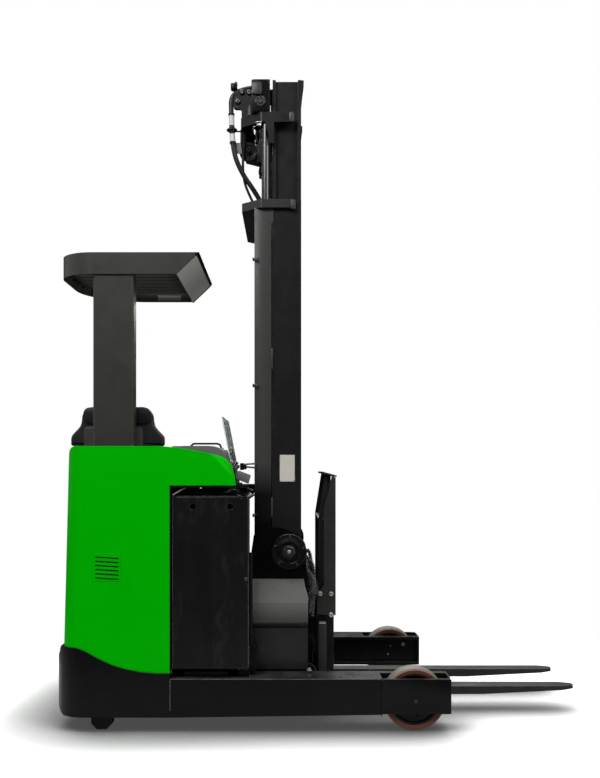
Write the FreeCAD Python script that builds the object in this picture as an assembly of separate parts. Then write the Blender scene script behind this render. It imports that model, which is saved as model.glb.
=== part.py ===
import FreeCAD, Part
import math
import os

# Sit-on reach truck. +X points along the forks, +Y to the truck's left, +Z up.
# The origin is on the floor, at the centre of the truck's footprint box. Millimetres.

os.makedirs("parts", exist_ok=True)
Vec = FreeCAD.Vector

# ---------------------------------------------------------------- driving dimensions
overall_length = 2506.0
overall_width = 1270.0
mast_height = 3111.0

rear_x = -overall_length / 2
fork_tip_x = overall_length / 2
side_y = overall_width / 2

running_gap = 5.0            # between pieces that move past each other
seat_gap = 0.3               # between a piece and the one that carries it

# straddle legs, load wheels and reach rails
body_front_x = -715.0
leg_front_x = 574.0
leg_width = 175.0
leg_top = 244.0
leg_bottom_rear = 67.0
leg_bottom_front = 80.0
leg_wall = 12.0
leg_inner_y = side_y - leg_width
wheel_bay_x = 258.0
wheel_bay_end_x = 567.0
load_wheel_x = 410.0
load_wheel_r = 142.5
load_wheel_width = 102.0
load_wheel_inset = 26.0
load_axle_r = 20.0
rail_depth = 45.0
rail_web = 8.0
rail_flange = 14.0
rail_bottom = 86.0
rail_rear_x = -600.0

# rear skirt and drive unit
skirt_wall = 20.0
skirt_bottom = leg_bottom_rear
skirt_top_rear = 385.0
skirt_top_front = 268.0
skirt_corner_r = 150.0
skirt_wave = ((rear_x + 101, skirt_top_rear), (rear_x + 172, skirt_top_rear),
              (rear_x + 237, skirt_top_front - 6), (body_front_x, skirt_top_front))
drive_wheel_r = 171.5
drive_x = rear_x + 45.5 + drive_wheel_r
drive_y = 405 - side_y
drive_wheel_width = 114.0
drive_bay_r = math.hypot(drive_wheel_r, drive_wheel_width / 2) + 9
bridge_z = 2 * drive_wheel_r + 9
bridge_t = 24.0
turntable_r = 118.0
foot_x = rear_x + 220
foot_width = 98.0
foot_flat = 46.0
foot_shoulder = 30.0
foot_depth = 50.0
foot_clearance = 3.0
foot_inset = 42.0

# body covers and compartment
cover_y = side_y - 7.0
cover_wall = 8.0
cover_top = 1309.0
cover_front_top = 1262.0
cover_rear_x = rear_x + 43
cover_lean = 42.0
cover_corner_r = 90.0
vent_x = rear_x + 244
vent_length = 107.0
hood_front_x = -412.0
hood_bottom = 1128.0
bulkhead_t = 10.0
floor_top = 400.0
floor_t = 8.0

deck_z = skirt_top_front - 14
bridge_rear_x = rear_x + 57
bridge_front_x = body_front_x - 75
bridge_right_y = drive_y - 210
bridge_left_y = drive_y + 170
reach_cylinder_y = bridge_left_y + 180
reach_cylinder_z = 172.0

# battery
battery_rear_x = -706.0
battery_front_x = -355.0
battery_case_front_x = -402.0
battery_panel_t = 15.0
battery_bottom = 278.0
battery_top = 1078.0
battery_half_width = side_y - 30
battery_hole_r = 15.0
battery_hole_depth = 20.0

# overhead guard
guard_rear_x = rear_x + 1
guard_front_top_x = -600.0
guard_front_bottom_x = -692.0
guard_right_y = 70 - side_y
guard_left_y = guard_right_y + 740
guard_bottom = 2109.0
guard_top = 2211.0
guard_wall = 8.0
pillar_rear_x = rear_x + 171
pillar_front_x = rear_x + 361
pillar_depth = 90.0
slat_count = 8
slat_t = 12.0
slat_height = 55.0

# operator's seat and controls
seat_x = rear_x + 267
seat_half_width = 215.0
seat_front_y = drive_y - 139
cushion_top = 950.0
cushion_t = 110.0
seat_back_top = 1500.0

console_top = 1309.0
screen_lean = 11.0
screen_foot_x = -447.0
screen_foot_z = 1201.0
screen_right_y = -370.0
screen_left_y = 110.0
steering_x = rear_x + 185
steering_y = bridge_left_y + 245
steering_top = 985.0
pedal_y = side_y - 235

# reach carriage
reach_plate_t = 16.0
reach_plate_rear_x = -349.0
reach_plate_front_x = -77.0
reach_cover_top = 681.0
pivot_x = -169.0
pivot_z = 816.0
tilt_z = 300.0
hub_r = 82.0
hub_ring_r = 52.0
pivot_r = 39.9
reach_roller_x = (-385.0, -112.0)

# mast: three pairs of rails side by side, each one running_gap inside the last
rail_rear = -250.0
rail_front = -110.0
mast_flange = 16.0
mast_web = 12.0
outer_y = leg_inner_y - 90
outer_rail_w = 45.0
middle_rail_w = 58.0
inner_rail_w = 60.0
outer_bottom = 85.0
outer_top = mast_height - 604
stiffener_rear_x = -337.0
yoke_t = 40.0
upper_yoke_bottom = mast_height - 218
upper_yoke_t = 48.0
cylinder_x = -283.0
cylinder_y = outer_y - 45
cylinder_r = 31.0
lift_rod_r = 21.0

# fork carriage
fork_width = 100.0
fork_centre_y = 203.0
fork_top = 125.0
fork_t = 40.0
fork_heel_front_x = 53.0
fork_tip_t = 17.0
fork_taper_x = 790.0
backrest_y = outer_y
backrest_top_rear = 1192.0
backrest_top_front = 1171.0

# hoses and leads: (x, z) or (x, y) corners of each route
mast_hose_r = 12.0
mast_hose_y = -outer_y + 105
mast_hose_route = [(-300, mast_hose_y, mast_height - 15), (-458, mast_hose_y, mast_height - 15),
                   (-455, mast_hose_y, mast_height - 171), (-446, mast_hose_y, mast_height - 341),
                   (-398, mast_hose_y, outer_top + 155), (-345, mast_hose_y, outer_top + 83),
                   (-312, mast_hose_y, outer_top + 25)]
return_hose_r = 6.5
return_hose_y = -outer_y + 135
return_hose_route = [(-398, return_hose_y, mast_height - 311), (-401, return_hose_y, mast_height - 396),
                     (-394, return_hose_y, outer_top + 133), (-372, return_hose_y, outer_top + 73),
                     (-348, return_hose_y, outer_top + 25)]
battery_lead_r = 10.0
battery_lead_z = battery_top + 15
battery_lead_route = [(-703, -520, battery_lead_z), (-640, -526, battery_lead_z), (-570, -556, battery_lead_z),
                      (-500, -556, battery_lead_z), (-446, -538, battery_lead_z)]

roller_r = (rail_front - rail_rear) / 2 - mast_flange - seat_gap
roller_x = (rail_front + rail_rear) / 2


# ---------------------------------------------------------------- shape helpers
def box(x0, x1, y0, y1, z0, z1):
    return Part.makeBox(x1 - x0, y1 - y0, z1 - z0, Vec(x0, y0, z0))


def place(axis, u, v, w):
    """A point from in-plane (u, v) and distance w along the axis."""
    if axis == "x":
        return Vec(w, u, v)
    if axis == "y":
        return Vec(u, w, v)
    return Vec(u, v, w)


def outline(axis, corners, level):
    """Closed wire through (u, v) or (u, v, radius) corners, the radius rounding that corner."""
    count = len(corners)
    runs = []
    for i, corner in enumerate(corners):
        here = Vec(corner[0], corner[1], 0)
        radius = corner[2] if len(corner) > 2 else 0
        before = Vec(*corners[i - 1][:2], 0) - here
        after = Vec(*corners[(i + 1) % count][:2], 0) - here
        if not radius:
            runs.append((here, None, here))
            continue
        before.normalize()
        after.normalize()
        half = before.getAngle(after) / 2
        setback = radius / math.tan(half)
        middle = before + after
        middle.normalize()
        tip = here + middle * (radius / math.sin(half) - radius)
        runs.append((here + before * setback, tip, here + after * setback))
    edges = []
    for i, (start, tip, end) in enumerate(runs):
        a, b = (place(axis, p.x, p.y, level) for p in (start, end))
        if tip is not None:
            edges.append(Part.Arc(a, place(axis, tip.x, tip.y, level), b).toShape())
        following = runs[(i + 1) % count][0]
        c = place(axis, following.x, following.y, level)
        if b.distanceToPoint(c) > 0.001:
            edges.append(Part.makeLine(b, c))
    return Part.Wire(edges)


def slab(axis, corners, lo, hi):
    """An outline extruded from lo to hi along the axis."""
    face = Part.Face(outline(axis, corners, lo))
    return face.extrude(place(axis, 0, 0, hi - lo))


def rod(axis, u, v, lo, hi, radius):
    return Part.makeCylinder(radius, hi - lo, place(axis, u, v, lo), place(axis, 0, 0, 1))


def tube(axis, u, v, lo, hi, outer, inner):
    return rod(axis, u, v, lo, hi, outer).cut(rod(axis, u, v, lo - 1, hi + 1, inner))


def fuse(*shapes):
    joined = shapes[0].fuse(list(shapes[1:])) if len(shapes) > 1 else shapes[0]
    return joined.removeSplitter()


def mirrored(shape):
    return shape.mirror(Vec(0, 0, 0), Vec(0, 1, 0))


def both(shape):
    """The right-hand shape and its mirror image on the left."""
    return Part.makeCompound([shape, mirrored(shape)])


def turned(shape, axis, u, v, degrees):
    return shape.rotated(place(axis, u, v, 0), place(axis, 0, 0, 1), degrees)


def spun(axis, u, v, profile):
    """A solid of revolution about the axis through (u, v), from (radius, level) corners."""
    points = [place(axis, u + r, v, level) for r, level in profile]
    face = Part.Face(Part.makePolygon(points + points[:1]))
    return face.revolve(place(axis, u, v, 0), place(axis, 0, 0, 1), 360)


def hose(route, radius):
    """A round tube along straight runs joined by tangent arcs, each as large as its runs allow."""
    points = [Vec(*point) for point in route]
    edges = []
    bends = []
    start = points[0]
    for before, corner, after in zip(points, points[1:], points[2:]):
        back = before - corner
        ahead = after - corner
        setback = 0.45 * min(back.Length, ahead.Length)
        back.normalize()
        ahead.normalize()
        half = back.getAngle(ahead) / 2
        bend = setback * math.tan(half)
        bends.append(round(bend))
        middle = back + ahead
        middle.normalize()
        bend_start = corner + back * setback
        bend_end = corner + ahead * setback
        tip = corner + middle * (bend / math.sin(half) - bend)
        edges.append(Part.makeLine(start, bend_start))
        edges.append(Part.Arc(bend_start, tip, bend_end).toShape())
        start = bend_end
    edges.append(Part.makeLine(start, points[-1]))
    spine = Part.Wire(edges)
    ring = Part.Wire(Part.makeCircle(radius, points[0], points[1] - points[0]))
    whole = spine.makePipe(Part.Face(ring))
    print("hose of radius", radius, "length", round(spine.Length), "bends", bends,
          "volume ratio", round(whole.Volume / (math.pi * radius ** 2 * spine.Length), 4))
    return whole


def ferrule(end, beyond, radius, length):
    """A round fitting that meets a hose square at its end and runs on away from it."""
    end, beyond = Vec(*end), Vec(*beyond)
    return Part.makeCylinder(radius, length, end, end - beyond)


def save(name, *shapes):
    solids = [solid for shape in shapes for solid in shape.Solids]
    whole = solids[0] if len(solids) == 1 else Part.makeCompound(solids)
    whole.exportStep("parts/" + name + ".step")


# ---------------------------------------------------------------- legs and load wheels
def leg():
    """Right straddle leg: a closed beam that opens into a fork round the load wheel."""
    web_y = -leg_inner_y - rail_depth
    side = [(body_front_x + 2, leg_bottom_rear), (wheel_bay_x, leg_bottom_front),
            (wheel_bay_x + 8, leg_bottom_front + 8), (leg_front_x, leg_bottom_front + 8),
            (leg_front_x, leg_top), (body_front_x + 2, leg_top)]
    plan = [(body_front_x + 2, -side_y), (leg_front_x, -side_y, 40.0),
            (leg_front_x, web_y), (body_front_x + 2, web_y)]
    beam = slab("y", side, -side_y, web_y).common(slab("z", plan, 0, leg_top))
    hollow = box(body_front_x - 10, wheel_bay_x - leg_wall, -side_y + leg_wall,
                 web_y - leg_wall, leg_bottom_front + leg_wall, leg_top - leg_wall)
    bay_plan = [(wheel_bay_x, -side_y + leg_wall), (wheel_bay_end_x, -side_y + leg_wall, 26.0),
                (wheel_bay_end_x, web_y), (wheel_bay_x, web_y)]
    bay = slab("z", bay_plan, 0, leg_top + 10)
    beam = beam.cut(hollow).cut(bay)
    axle_boss = rod("y", load_wheel_x, load_wheel_r, -side_y + 2, -side_y + leg_wall + 8, 34)
    nose = box(wheel_bay_end_x, leg_front_x, web_y - 20, web_y, leg_bottom_front + 8, leg_top)
    axle = rod("y", load_wheel_x, load_wheel_r, -side_y + leg_wall, web_y, load_axle_r)
    return fuse(beam, axle_boss, nose, axle)


def reach_rail():
    """Right reach rail: a channel inside the leg, open towards the mast, with a stop at its end."""
    web_outer = -leg_inner_y - rail_depth
    section = [(web_outer, rail_bottom), (-leg_inner_y, rail_bottom),
               (-leg_inner_y, rail_bottom + rail_flange), (web_outer + rail_web, rail_bottom + rail_flange),
               (web_outer + rail_web, leg_top - rail_flange), (-leg_inner_y, leg_top - rail_flange),
               (-leg_inner_y, leg_top), (web_outer, leg_top)]
    channel = slab("x", section, rail_rear_x, leg_front_x)
    stop = box(leg_front_x - 12, leg_front_x, web_outer + rail_web, -leg_inner_y,
               rail_bottom + rail_flange, leg_top - rail_flange)
    return fuse(channel, stop)


def load_wheel():
    """Right load wheel as (tyre, hub): a polyurethane tread bonded to an iron hub."""
    lo = -side_y + load_wheel_inset
    hi = lo + load_wheel_width
    rim_r = load_wheel_r - 24
    tyre = spun("y", load_wheel_x, load_wheel_r,
                [(rim_r, lo + 3), (load_wheel_r - 7, lo), (load_wheel_r, lo + 8), (load_wheel_r, hi - 8),
                 (load_wheel_r - 7, hi), (rim_r, hi - 3)])
    bore = load_axle_r + seat_gap
    hub = spun("y", load_wheel_x, load_wheel_r,
               [(bore, lo + 4), (48, lo + 4), (54, lo + 22), (rim_r - 14, lo + 22), (rim_r - 8, lo + 6),
                (rim_r, lo + 6), (rim_r, hi - 6), (rim_r - 8, hi - 6), (rim_r - 14, hi - 22),
                (54, hi - 22), (48, hi - 4), (bore, hi - 4)])
    return tyre, hub


# ---------------------------------------------------------------- rear skirt and frame
def skirt():
    """Steel skirt round the drive unit, its top edge falling in a wave towards the legs."""
    def plan(inset, lo, hi):
        corner = skirt_corner_r - inset
        return slab("z", [(rear_x + inset, -side_y + inset, corner), (body_front_x, -side_y + inset),
                          (body_front_x, side_y - inset), (rear_x + inset, side_y - inset, corner)], lo, hi)

    def side(inset):
        wave = Part.BezierCurve()
        wave.setPoles([Vec(x, 0, z) for x, z in skirt_wave])
        lip_x = rear_x + 19 + inset
        points = [Vec(body_front_x, 0, skirt_top_front), Vec(body_front_x, 0, skirt_bottom),
                  Vec(rear_x + 42 + inset, 0, skirt_bottom), Vec(rear_x + inset, 0, skirt_bottom + 70),
                  Vec(rear_x + inset, 0, skirt_top_rear - 48), Vec(lip_x, 0, skirt_top_rear - 28),
                  Vec(lip_x, 0, skirt_top_rear), Vec(skirt_wave[0][0], 0, skirt_top_rear)]
        edges = [wave.toShape()]
        edges += [Part.makeLine(a, b) for a, b in zip(points, points[1:])]
        lower = Part.Arc(points[2], Vec(rear_x + 12 + inset, 0, skirt_bottom + 30), points[3]).toShape()
        edges[3] = lower
        face = Part.Face(Part.Wire(Part.__sortEdges__(edges)))
        face.translate(Vec(0, -side_y - 10, 0))
        return face.extrude(Vec(0, overall_width + 20, 0))

    shell = plan(0, skirt_bottom, skirt_top_rear).common(side(0))
    core = plan(skirt_wall, skirt_bottom - 5, skirt_top_rear + 5)
    core = core.common(box(rear_x + skirt_wall, body_front_x + 1, -side_y, side_y, 0, 500))
    taper = side(skirt_wall)
    taper.translate(Vec(0, 0, -5))
    low = core.common(taper)
    high = core.common(box(rear_x + skirt_wall + 19, body_front_x + 1, -side_y, side_y,
                           skirt_bottom + 60, 500))
    return shell.cut(low).cut(high)


def chassis_frame():
    """Welded frame inside the skirt: deck with the drive bay, battery bulkhead, drive bridge."""
    inside_y = side_y - skirt_wall - seat_gap
    inside_x = rear_x + skirt_wall + seat_gap
    corner = skirt_corner_r - skirt_wall - seat_gap
    front = body_front_x - 2
    deck = slab("z", [(inside_x, -inside_y, corner), (front, -inside_y), (front, inside_y),
                      (inside_x, inside_y, corner)], deck_z - 12, deck_z)
    deck = deck.cut(rod("z", drive_x, drive_y, 0, 500, drive_bay_r))
    bulkhead = box(front - bulkhead_t, front, -inside_y + 6, inside_y - 6, leg_bottom_rear + 8, hood_bottom - 10)
    bulkhead = bulkhead.cut(rod("x", reach_cylinder_y, reach_cylinder_z, front - 20, front + 10, 44))
    arm = box(front - 130, front - bulkhead_t, -inside_y, -leg_inner_y + 20,
              leg_bottom_rear + 8, deck_z - 12)
    bridge = box(bridge_rear_x, bridge_front_x, bridge_right_y, bridge_left_y, bridge_z, bridge_z + bridge_t)
    bridge = bridge.cut(rod("z", drive_x, drive_y, bridge_z - 1, bridge_z + bridge_t + 1, turntable_r))
    posts = [box(x - 14, x + 14, y - 14, y + 14, deck_z, bridge_z)
             for x in (bridge_rear_x + 22, bridge_front_x - 20)
             for y in (bridge_right_y + 18, bridge_left_y - 18)]
    gland = ferrule(battery_lead_route[0], battery_lead_route[1], 15, 16)
    return fuse(deck, bulkhead, arm, mirrored(arm), bridge, gland, *posts)


def floor_plate():
    """Compartment floor above the deck, carried on three lengthwise bearers."""
    y_lo, y_hi = bridge_left_y + 12, side_y - 35
    rear, front = rear_x + 82, body_front_x - 14
    top = slab("z", [(rear, y_lo), (front, y_lo), (front, y_hi, 40), (rear, y_hi, 70)],
               floor_top - floor_t, floor_top)
    bearers = [box(rear + 5, front - 20, y, y + 10, deck_z, floor_top - floor_t) for y in (y_lo + 68, y_lo + 318, y_hi - 60)]
    return fuse(top, *bearers)


def support_feet():
    """Skid feet under both rear corners, a hand's breadth in from each side."""
    outer = -side_y + foot_inset
    top = deck_z - 12
    half = foot_width / 2
    flat = foot_flat / 2
    block = slab("y", [(foot_x - half, top), (foot_x - half, foot_shoulder),
                       (foot_x - flat, foot_clearance), (foot_x + flat, foot_clearance),
                       (foot_x + half, foot_shoulder), (foot_x + half, top)],
                 outer, outer + foot_depth)
    return both(block)


# ---------------------------------------------------------------- drive unit
def drive_motor():
    motor_lo = bridge_z + bridge_t
    flange = rod("z", drive_x, drive_y, motor_lo, motor_lo + 14, 124)
    body = rod("z", drive_x, drive_y, motor_lo + 14, 620, 105)
    cap = spun("z", drive_x, drive_y, [(0, 620), (96, 620), (88, 650), (30, 660), (0, 660)])
    steer = rod("z", drive_x + 120, drive_y, motor_lo + 14, 560, 45)
    bracket = box(drive_x + 60, drive_x + 160, drive_y - 50, drive_y + 50, motor_lo, motor_lo + 14)
    return fuse(flange, bracket, body, cap, steer)


def steer_gearbox():
    """Turntable, gearbox housing down one side of the wheel, and the output shaft."""
    turntable = rod("z", drive_x, drive_y, bridge_z - 6, bridge_z + bridge_t - seat_gap,
                    turntable_r - seat_gap)
    lo = drive_y - drive_wheel_width / 2 - 60
    hi = drive_y - drive_wheel_width / 2 - 8
    housing = slab("y", [(drive_x - 80, bridge_z - 6, 20), (drive_x - 75, drive_wheel_r - 60, 60),
                         (drive_x + 75, drive_wheel_r - 60, 60), (drive_x + 80, bridge_z - 6, 20)], lo, hi)
    shaft = rod("y", drive_x, drive_wheel_r, hi - 4, drive_y + drive_wheel_width / 2 - 30, 30)
    return fuse(turntable, housing, shaft)


def drive_wheel():
    lo = drive_y - drive_wheel_width / 2
    hi = drive_y + drive_wheel_width / 2
    rim_r = drive_wheel_r - 32
    tyre = spun("y", drive_x, drive_wheel_r,
                [(rim_r, lo + 3), (drive_wheel_r - 8, lo), (drive_wheel_r, lo + 9), (drive_wheel_r, hi - 9),
                 (drive_wheel_r - 8, hi), (rim_r, hi - 3)])
    hub = spun("y", drive_x, drive_wheel_r,
               [(30.3, lo + 10), (80, lo + 10), (rim_r - 10, lo + 6), (rim_r, lo + 6), (rim_r, hi - 6),
                (rim_r - 14, hi - 6), (rim_r - 22, hi - 34), (60, hi - 26), (0, hi - 26),
                (0, hi - 30 + seat_gap), (30.3, hi - 30 + seat_gap)])
    return tyre, hub


# ---------------------------------------------------------------- covers
def cover_tube(inset):
    """The body's outer form, its back leaning forward towards the top, drawn in by the inset."""
    rate = cover_lean / (cover_top - skirt_top_rear)
    lo, hi = 200.0, cover_top + 40
    y = cover_y - inset
    form = slab("y", [(cover_rear_x + rate * (lo - skirt_top_rear) + inset, lo), (hood_front_x + 100, lo),
                      (hood_front_x + 100, hi), (cover_rear_x + rate * (hi - skirt_top_rear) + inset, hi)], -y, y)
    rear_edges = [e for e in form.Edges if e.BoundBox.XMax < cover_rear_x + 100 and e.BoundBox.YLength < 1]
    return form.makeFillet(cover_corner_r - inset, rear_edges)


def side_outline():
    """Side view of the green cover as an extruded solid across the whole width."""
    wave = Part.BezierCurve()
    lift = seat_gap
    wave.setPoles([Vec(x, 0, z + lift) for x, z in skirt_wave])
    crown = Part.BezierCurve()
    crown.setPoles([Vec(-760, 0, cover_top), Vec(-640, 0, cover_top - 8), Vec(-540, 0, cover_top - 32),
                    Vec(-478, 0, cover_front_top)])
    nose = Part.BezierCurve()
    nose.setPoles([Vec(-478, 0, cover_front_top), Vec(-430, 0, cover_front_top - 22),
                   Vec(-418, 0, cover_front_top - 70), Vec(hood_front_x, 0, hood_bottom)])
    far = rear_x - 20
    back = rear_x + 87
    shoulder = Part.Arc(Vec(back, 0, cover_top - 42), Vec(back + 10, 0, cover_top - 14),
                        Vec(back + 42, 0, cover_top)).toShape()
    edges = [wave.toShape(), crown.toShape(), nose.toShape(), shoulder,
             Part.makeLine(Vec(body_front_x, 0, skirt_top_front + lift), Vec(body_front_x, 0, hood_bottom)),
             Part.makeLine(Vec(body_front_x, 0, hood_bottom), Vec(hood_front_x, 0, hood_bottom)),
             Part.makeLine(Vec(back + 42, 0, cover_top), Vec(-760, 0, cover_top)),
             Part.makeLine(Vec(back, 0, cover_top - 42), Vec(far, 0, cover_top - 42)),
             Part.makeLine(Vec(far, 0, cover_top - 42), Vec(far, 0, skirt_top_rear + lift)),
             Part.makeLine(Vec(far, 0, skirt_top_rear + lift), Vec(skirt_wave[0][0], 0, skirt_top_rear + lift))]
    face = Part.Face(Part.Wire(Part.__sortEdges__(edges)))
    face.translate(Vec(0, -side_y - 10, 0))
    return face.extrude(Vec(0, overall_width + 20, 0))


def vent_slits():
    """Six slits, each falling slightly towards the front."""
    slits = []
    for k in range(6):
        z = 712.0 + 16.5 * k
        x0, x1 = vent_x - vent_length / 2, vent_x + vent_length / 2
        slit = box(x0, x1, -cover_y - 5, -cover_y + cover_wall + 20, z - 2.5, z + 2.5)
        slits.append(turned(slit, "y", vent_x, z, 4))
    return slits


def covers():
    """Green covers as (right and rear cover, left hood cover)."""
    wall = cover_tube(0).cut(cover_tube(cover_wall)).common(side_outline())
    front_cut = box(body_front_x, hood_front_x + 200, -cover_y + 40, cover_y - 40, 0, 2000)
    left_gap = box(rear_x + 117, body_front_x, 0, side_y + 20, 0, 2000)
    fall = slab("x", [(-200, cover_top + 40), (-100, cover_top + 2, 120), (side_y - 215, 960, 160),
                      (side_y + 20, 930), (side_y + 20, cover_top + 40)], rear_x - 40, body_front_x - 150)
    left_nose = box(hood_front_x - 78, hood_front_x + 200, 0, side_y + 20, 0, 2000)
    whole = wall.cut([front_cut, left_gap, left_nose, fall] + vent_slits())
    pieces = sorted(whole.Solids, key=lambda s: s.BoundBox.YMin)
    return pieces[0], pieces[-1]


# ---------------------------------------------------------------- battery bay
def battery():
    """Battery case with its open top, the right side plate standing ahead of the case's front."""
    block = slab("x", [(-battery_half_width, battery_bottom, 12), (battery_half_width, battery_bottom, 12),
                       (battery_half_width, battery_top, 8), (-battery_half_width, battery_top, 8)],
                 battery_rear_x, battery_case_front_x)
    recess = box(battery_rear_x + 8, battery_case_front_x - 8, -battery_half_width + 8,
                 battery_half_width - 8, battery_top - 30, battery_top + 5)
    panel = box(battery_case_front_x - 20, battery_front_x, -battery_half_width,
                -battery_half_width + battery_panel_t, battery_bottom + 12, battery_top - 8)
    end_x, end_y, end_z = battery_lead_route[-1]
    terminal = box(end_x + 7, end_x + 32, end_y - 25, end_y + 25, battery_top - 32, end_z + 14)
    clamp = ferrule(battery_lead_route[-1], battery_lead_route[-2], 13, 14)
    block = fuse(block.cut(recess), panel, terminal, clamp)
    for x in (-612.0, -440.0):
        for side in (-1, 1):
            lo, hi = sorted((side * battery_half_width, side * (battery_half_width - battery_hole_depth)))
            block = block.cut(rod("y", x, battery_top - 48, lo - 1, hi + 1, battery_hole_r))
    return block


def battery_tray():
    """Tray on the legs, with rollers along both edges for changing the battery."""
    tray_lo, tray_hi = leg_top, battery_bottom
    tray_y = battery_half_width - 15
    rails = []
    for x0 in (battery_rear_x + 2, battery_front_x - 96):
        rails.append(box(x0, x0 + 50, -tray_y, tray_y, tray_lo, tray_hi - 8))
    plate = box(battery_rear_x + 2, battery_front_x - 46, -tray_y, tray_y, tray_hi - 8, tray_hi)
    return fuse(plate, *rails)


def battery_hood():
    """Lid over the battery, with a narrow beam running on along its right edge."""
    rear, front = body_front_x - 2 - bulkhead_t, hood_front_x - 34
    step_x = body_front_x + 2
    narrow, wide = cover_y - 16, cover_y - 2
    plate = slab("z", [(rear, -narrow), (step_x, -narrow), (step_x, -wide), (battery_front_x + 2, -wide, 8),
                       (battery_front_x + 2, 30 - wide, 8), (front, 30 - wide), (front, wide, 20),
                       (step_x, wide), (step_x, narrow), (rear, narrow)],
                 hood_bottom - 10, hood_bottom - seat_gap)
    lip = box(front - 8, front - 2, battery_lead_route[-1][1] + 45, cover_y - 28,
              hood_bottom - 40, hood_bottom - 10)
    return fuse(plate, lip)


def battery_stops():
    """Round-nosed stop plates on the legs, just ahead of the battery's lower corners."""
    x0, x1 = battery_front_x + 2, -317.0
    plate = slab("y", [(x0, leg_top), (x1 - 12, leg_top), (x1 - 12, 262, 8), (x1, 276, 8),
                       (x1, 384, 34), (x0, 384)], 90 - side_y, 120 - side_y)
    return both(plate)


# ---------------------------------------------------------------- overhead guard
def guard_plan(inset, lo, hi):
    """The guard seen from above: rounded behind, most of all on the left."""
    front = guard_front_top_x + 60
    return slab("z", [(front, guard_right_y + inset), (guard_rear_x + inset, guard_right_y + inset, 170 - inset),
                      (guard_rear_x + inset, guard_left_y - inset, 330 - inset),
                      (front, guard_left_y - inset)], lo, hi)


def guard_side(setback):
    """Side view of the guard with its raked front end, moved back by the setback."""
    top = guard_top - 14
    return slab("y", [(guard_front_bottom_x - setback, guard_bottom), (guard_front_top_x - setback, top),
                      (guard_front_top_x + 14 - setback, guard_top), (rear_x - 40, guard_top),
                      (rear_x - 40, guard_bottom)], guard_right_y - 10, guard_left_y + 10)


def guard_rim():
    inside = guard_plan(guard_wall, guard_bottom - 5, guard_top + 5)
    band = guard_plan(0, guard_bottom, guard_top).cut(inside).common(guard_side(0))
    panel = guard_side(0).cut(guard_side(guard_wall * 1.4)).common(inside)
    panel = panel.common(box(rear_x, 0, -side_y, side_y, guard_bottom, guard_top - 14))
    return fuse(band, panel)


def guard_slats():
    """Lengthwise bars on two ties, filling the rim."""
    inner_lo = guard_right_y + guard_wall
    inner_hi = guard_left_y - guard_wall
    pitch = (inner_hi - inner_lo) / (slat_count + 1)
    z1 = guard_top - 14
    z0 = z1 - slat_height
    bars = [box(rear_x, guard_front_top_x, y - slat_t / 2, y + slat_t / 2, z0, z1)
            for y in (inner_lo + pitch * k for k in range(1, slat_count + 1))]
    ties = [box(x, x + 30, inner_lo, inner_hi, z0 + 8, z1 - 12) for x in (pillar_rear_x + 16, guard_front_bottom_x - 28)]
    grid = fuse(*bars, *ties)
    inside = guard_plan(guard_wall + seat_gap, z0, z1)
    return grid.common(inside).common(guard_side(guard_wall * 1.4 + seat_gap))


def guard_pillar():
    outer = guard_right_y + guard_wall
    top = guard_top - 14 - slat_height - 4
    post = slab("z", [(pillar_rear_x, outer, 14), (pillar_front_x, outer, 14),
                      (pillar_front_x, outer + pillar_depth, 14), (pillar_rear_x, outer + pillar_depth, 14)],
                deck_z + 16, top)
    foot = box(pillar_rear_x - 20, pillar_front_x + 30, outer - 20, outer + pillar_depth + 10,
               deck_z, deck_z + 16)
    return fuse(post, foot)


# ---------------------------------------------------------------- compartment
def seat_pedestal():
    """Box over the drive motor that carries the seat."""
    x0, x1 = bridge_rear_x + 24, bridge_front_x
    y0, y1 = bridge_right_y + 10, bridge_left_y
    z0, z1 = bridge_z + bridge_t, cushion_top - cushion_t - seat_gap
    corners = [(x0, y0, 25), (x1, y0, 25), (x1, y1, 25), (x0, y1, 25)]
    inner = [(x0 + 6, y0 + 6, 19), (x1 - 6, y0 + 6, 19), (x1 - 6, y1 - 6, 19), (x0 + 6, y1 - 6, 19)]
    return slab("z", corners, z0, z1).cut(slab("z", inner, z0 - 1, z1 - 8))


def seat_cushion():
    front_y = seat_front_y + 454
    half = seat_half_width - 30
    return slab("z", [(seat_x - half, seat_front_y, 40), (seat_x + half, seat_front_y, 40),
                      (seat_x + half - 12, front_y, 90), (seat_x - half + 12, front_y, 90)],
                cushion_top - cushion_t, cushion_top)


def seat_back():
    """Backrest seen from behind: wings above the cover's edge, drawn in to a headrest."""
    low, wing, head = seat_half_width - 51, seat_half_width + 7, 165.0
    sill = cover_top + 5
    shape = [(seat_x - low, cushion_top - 60, 40), (seat_x + low, cushion_top - 60, 40), (seat_x + low, sill),
             (seat_x + wing, sill, 10), (seat_x + wing, sill + 46, 40), (seat_x + head + 8, 1412, 60),
             (seat_x + head, seat_back_top, 55), (seat_x - head, seat_back_top, 55),
             (seat_x - head - 8, 1412, 60), (seat_x - wing, sill + 46, 40), (seat_x - wing, sill, 10),
             (seat_x - low, sill)]
    return slab("y", shape, seat_front_y - seat_gap - 90, seat_front_y - seat_gap)


def console():
    """Grey control console over the battery hood, its round front cut back behind the screen."""
    side = [(body_front_x + 4, hood_bottom), (-446, hood_bottom), (-446, 1222, 40),
            (-470, console_top, 72), (body_front_x + 4, console_top, 12)]
    body = slab("y", side, -cover_y + cover_wall + 6, 320)
    lean = math.tan(math.radians(screen_lean))
    foot_x = screen_foot_x - 11 + (screen_foot_z - hood_bottom) * lean
    recess = slab("y", [(foot_x, hood_bottom - 1), (foot_x + 200, hood_bottom - 1),
                        (foot_x + 200, console_top + 1),
                        (foot_x - (console_top - hood_bottom) * lean, console_top + 1)],
                  screen_right_y - 15, 321)
    return body.cut(recess)


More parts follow.
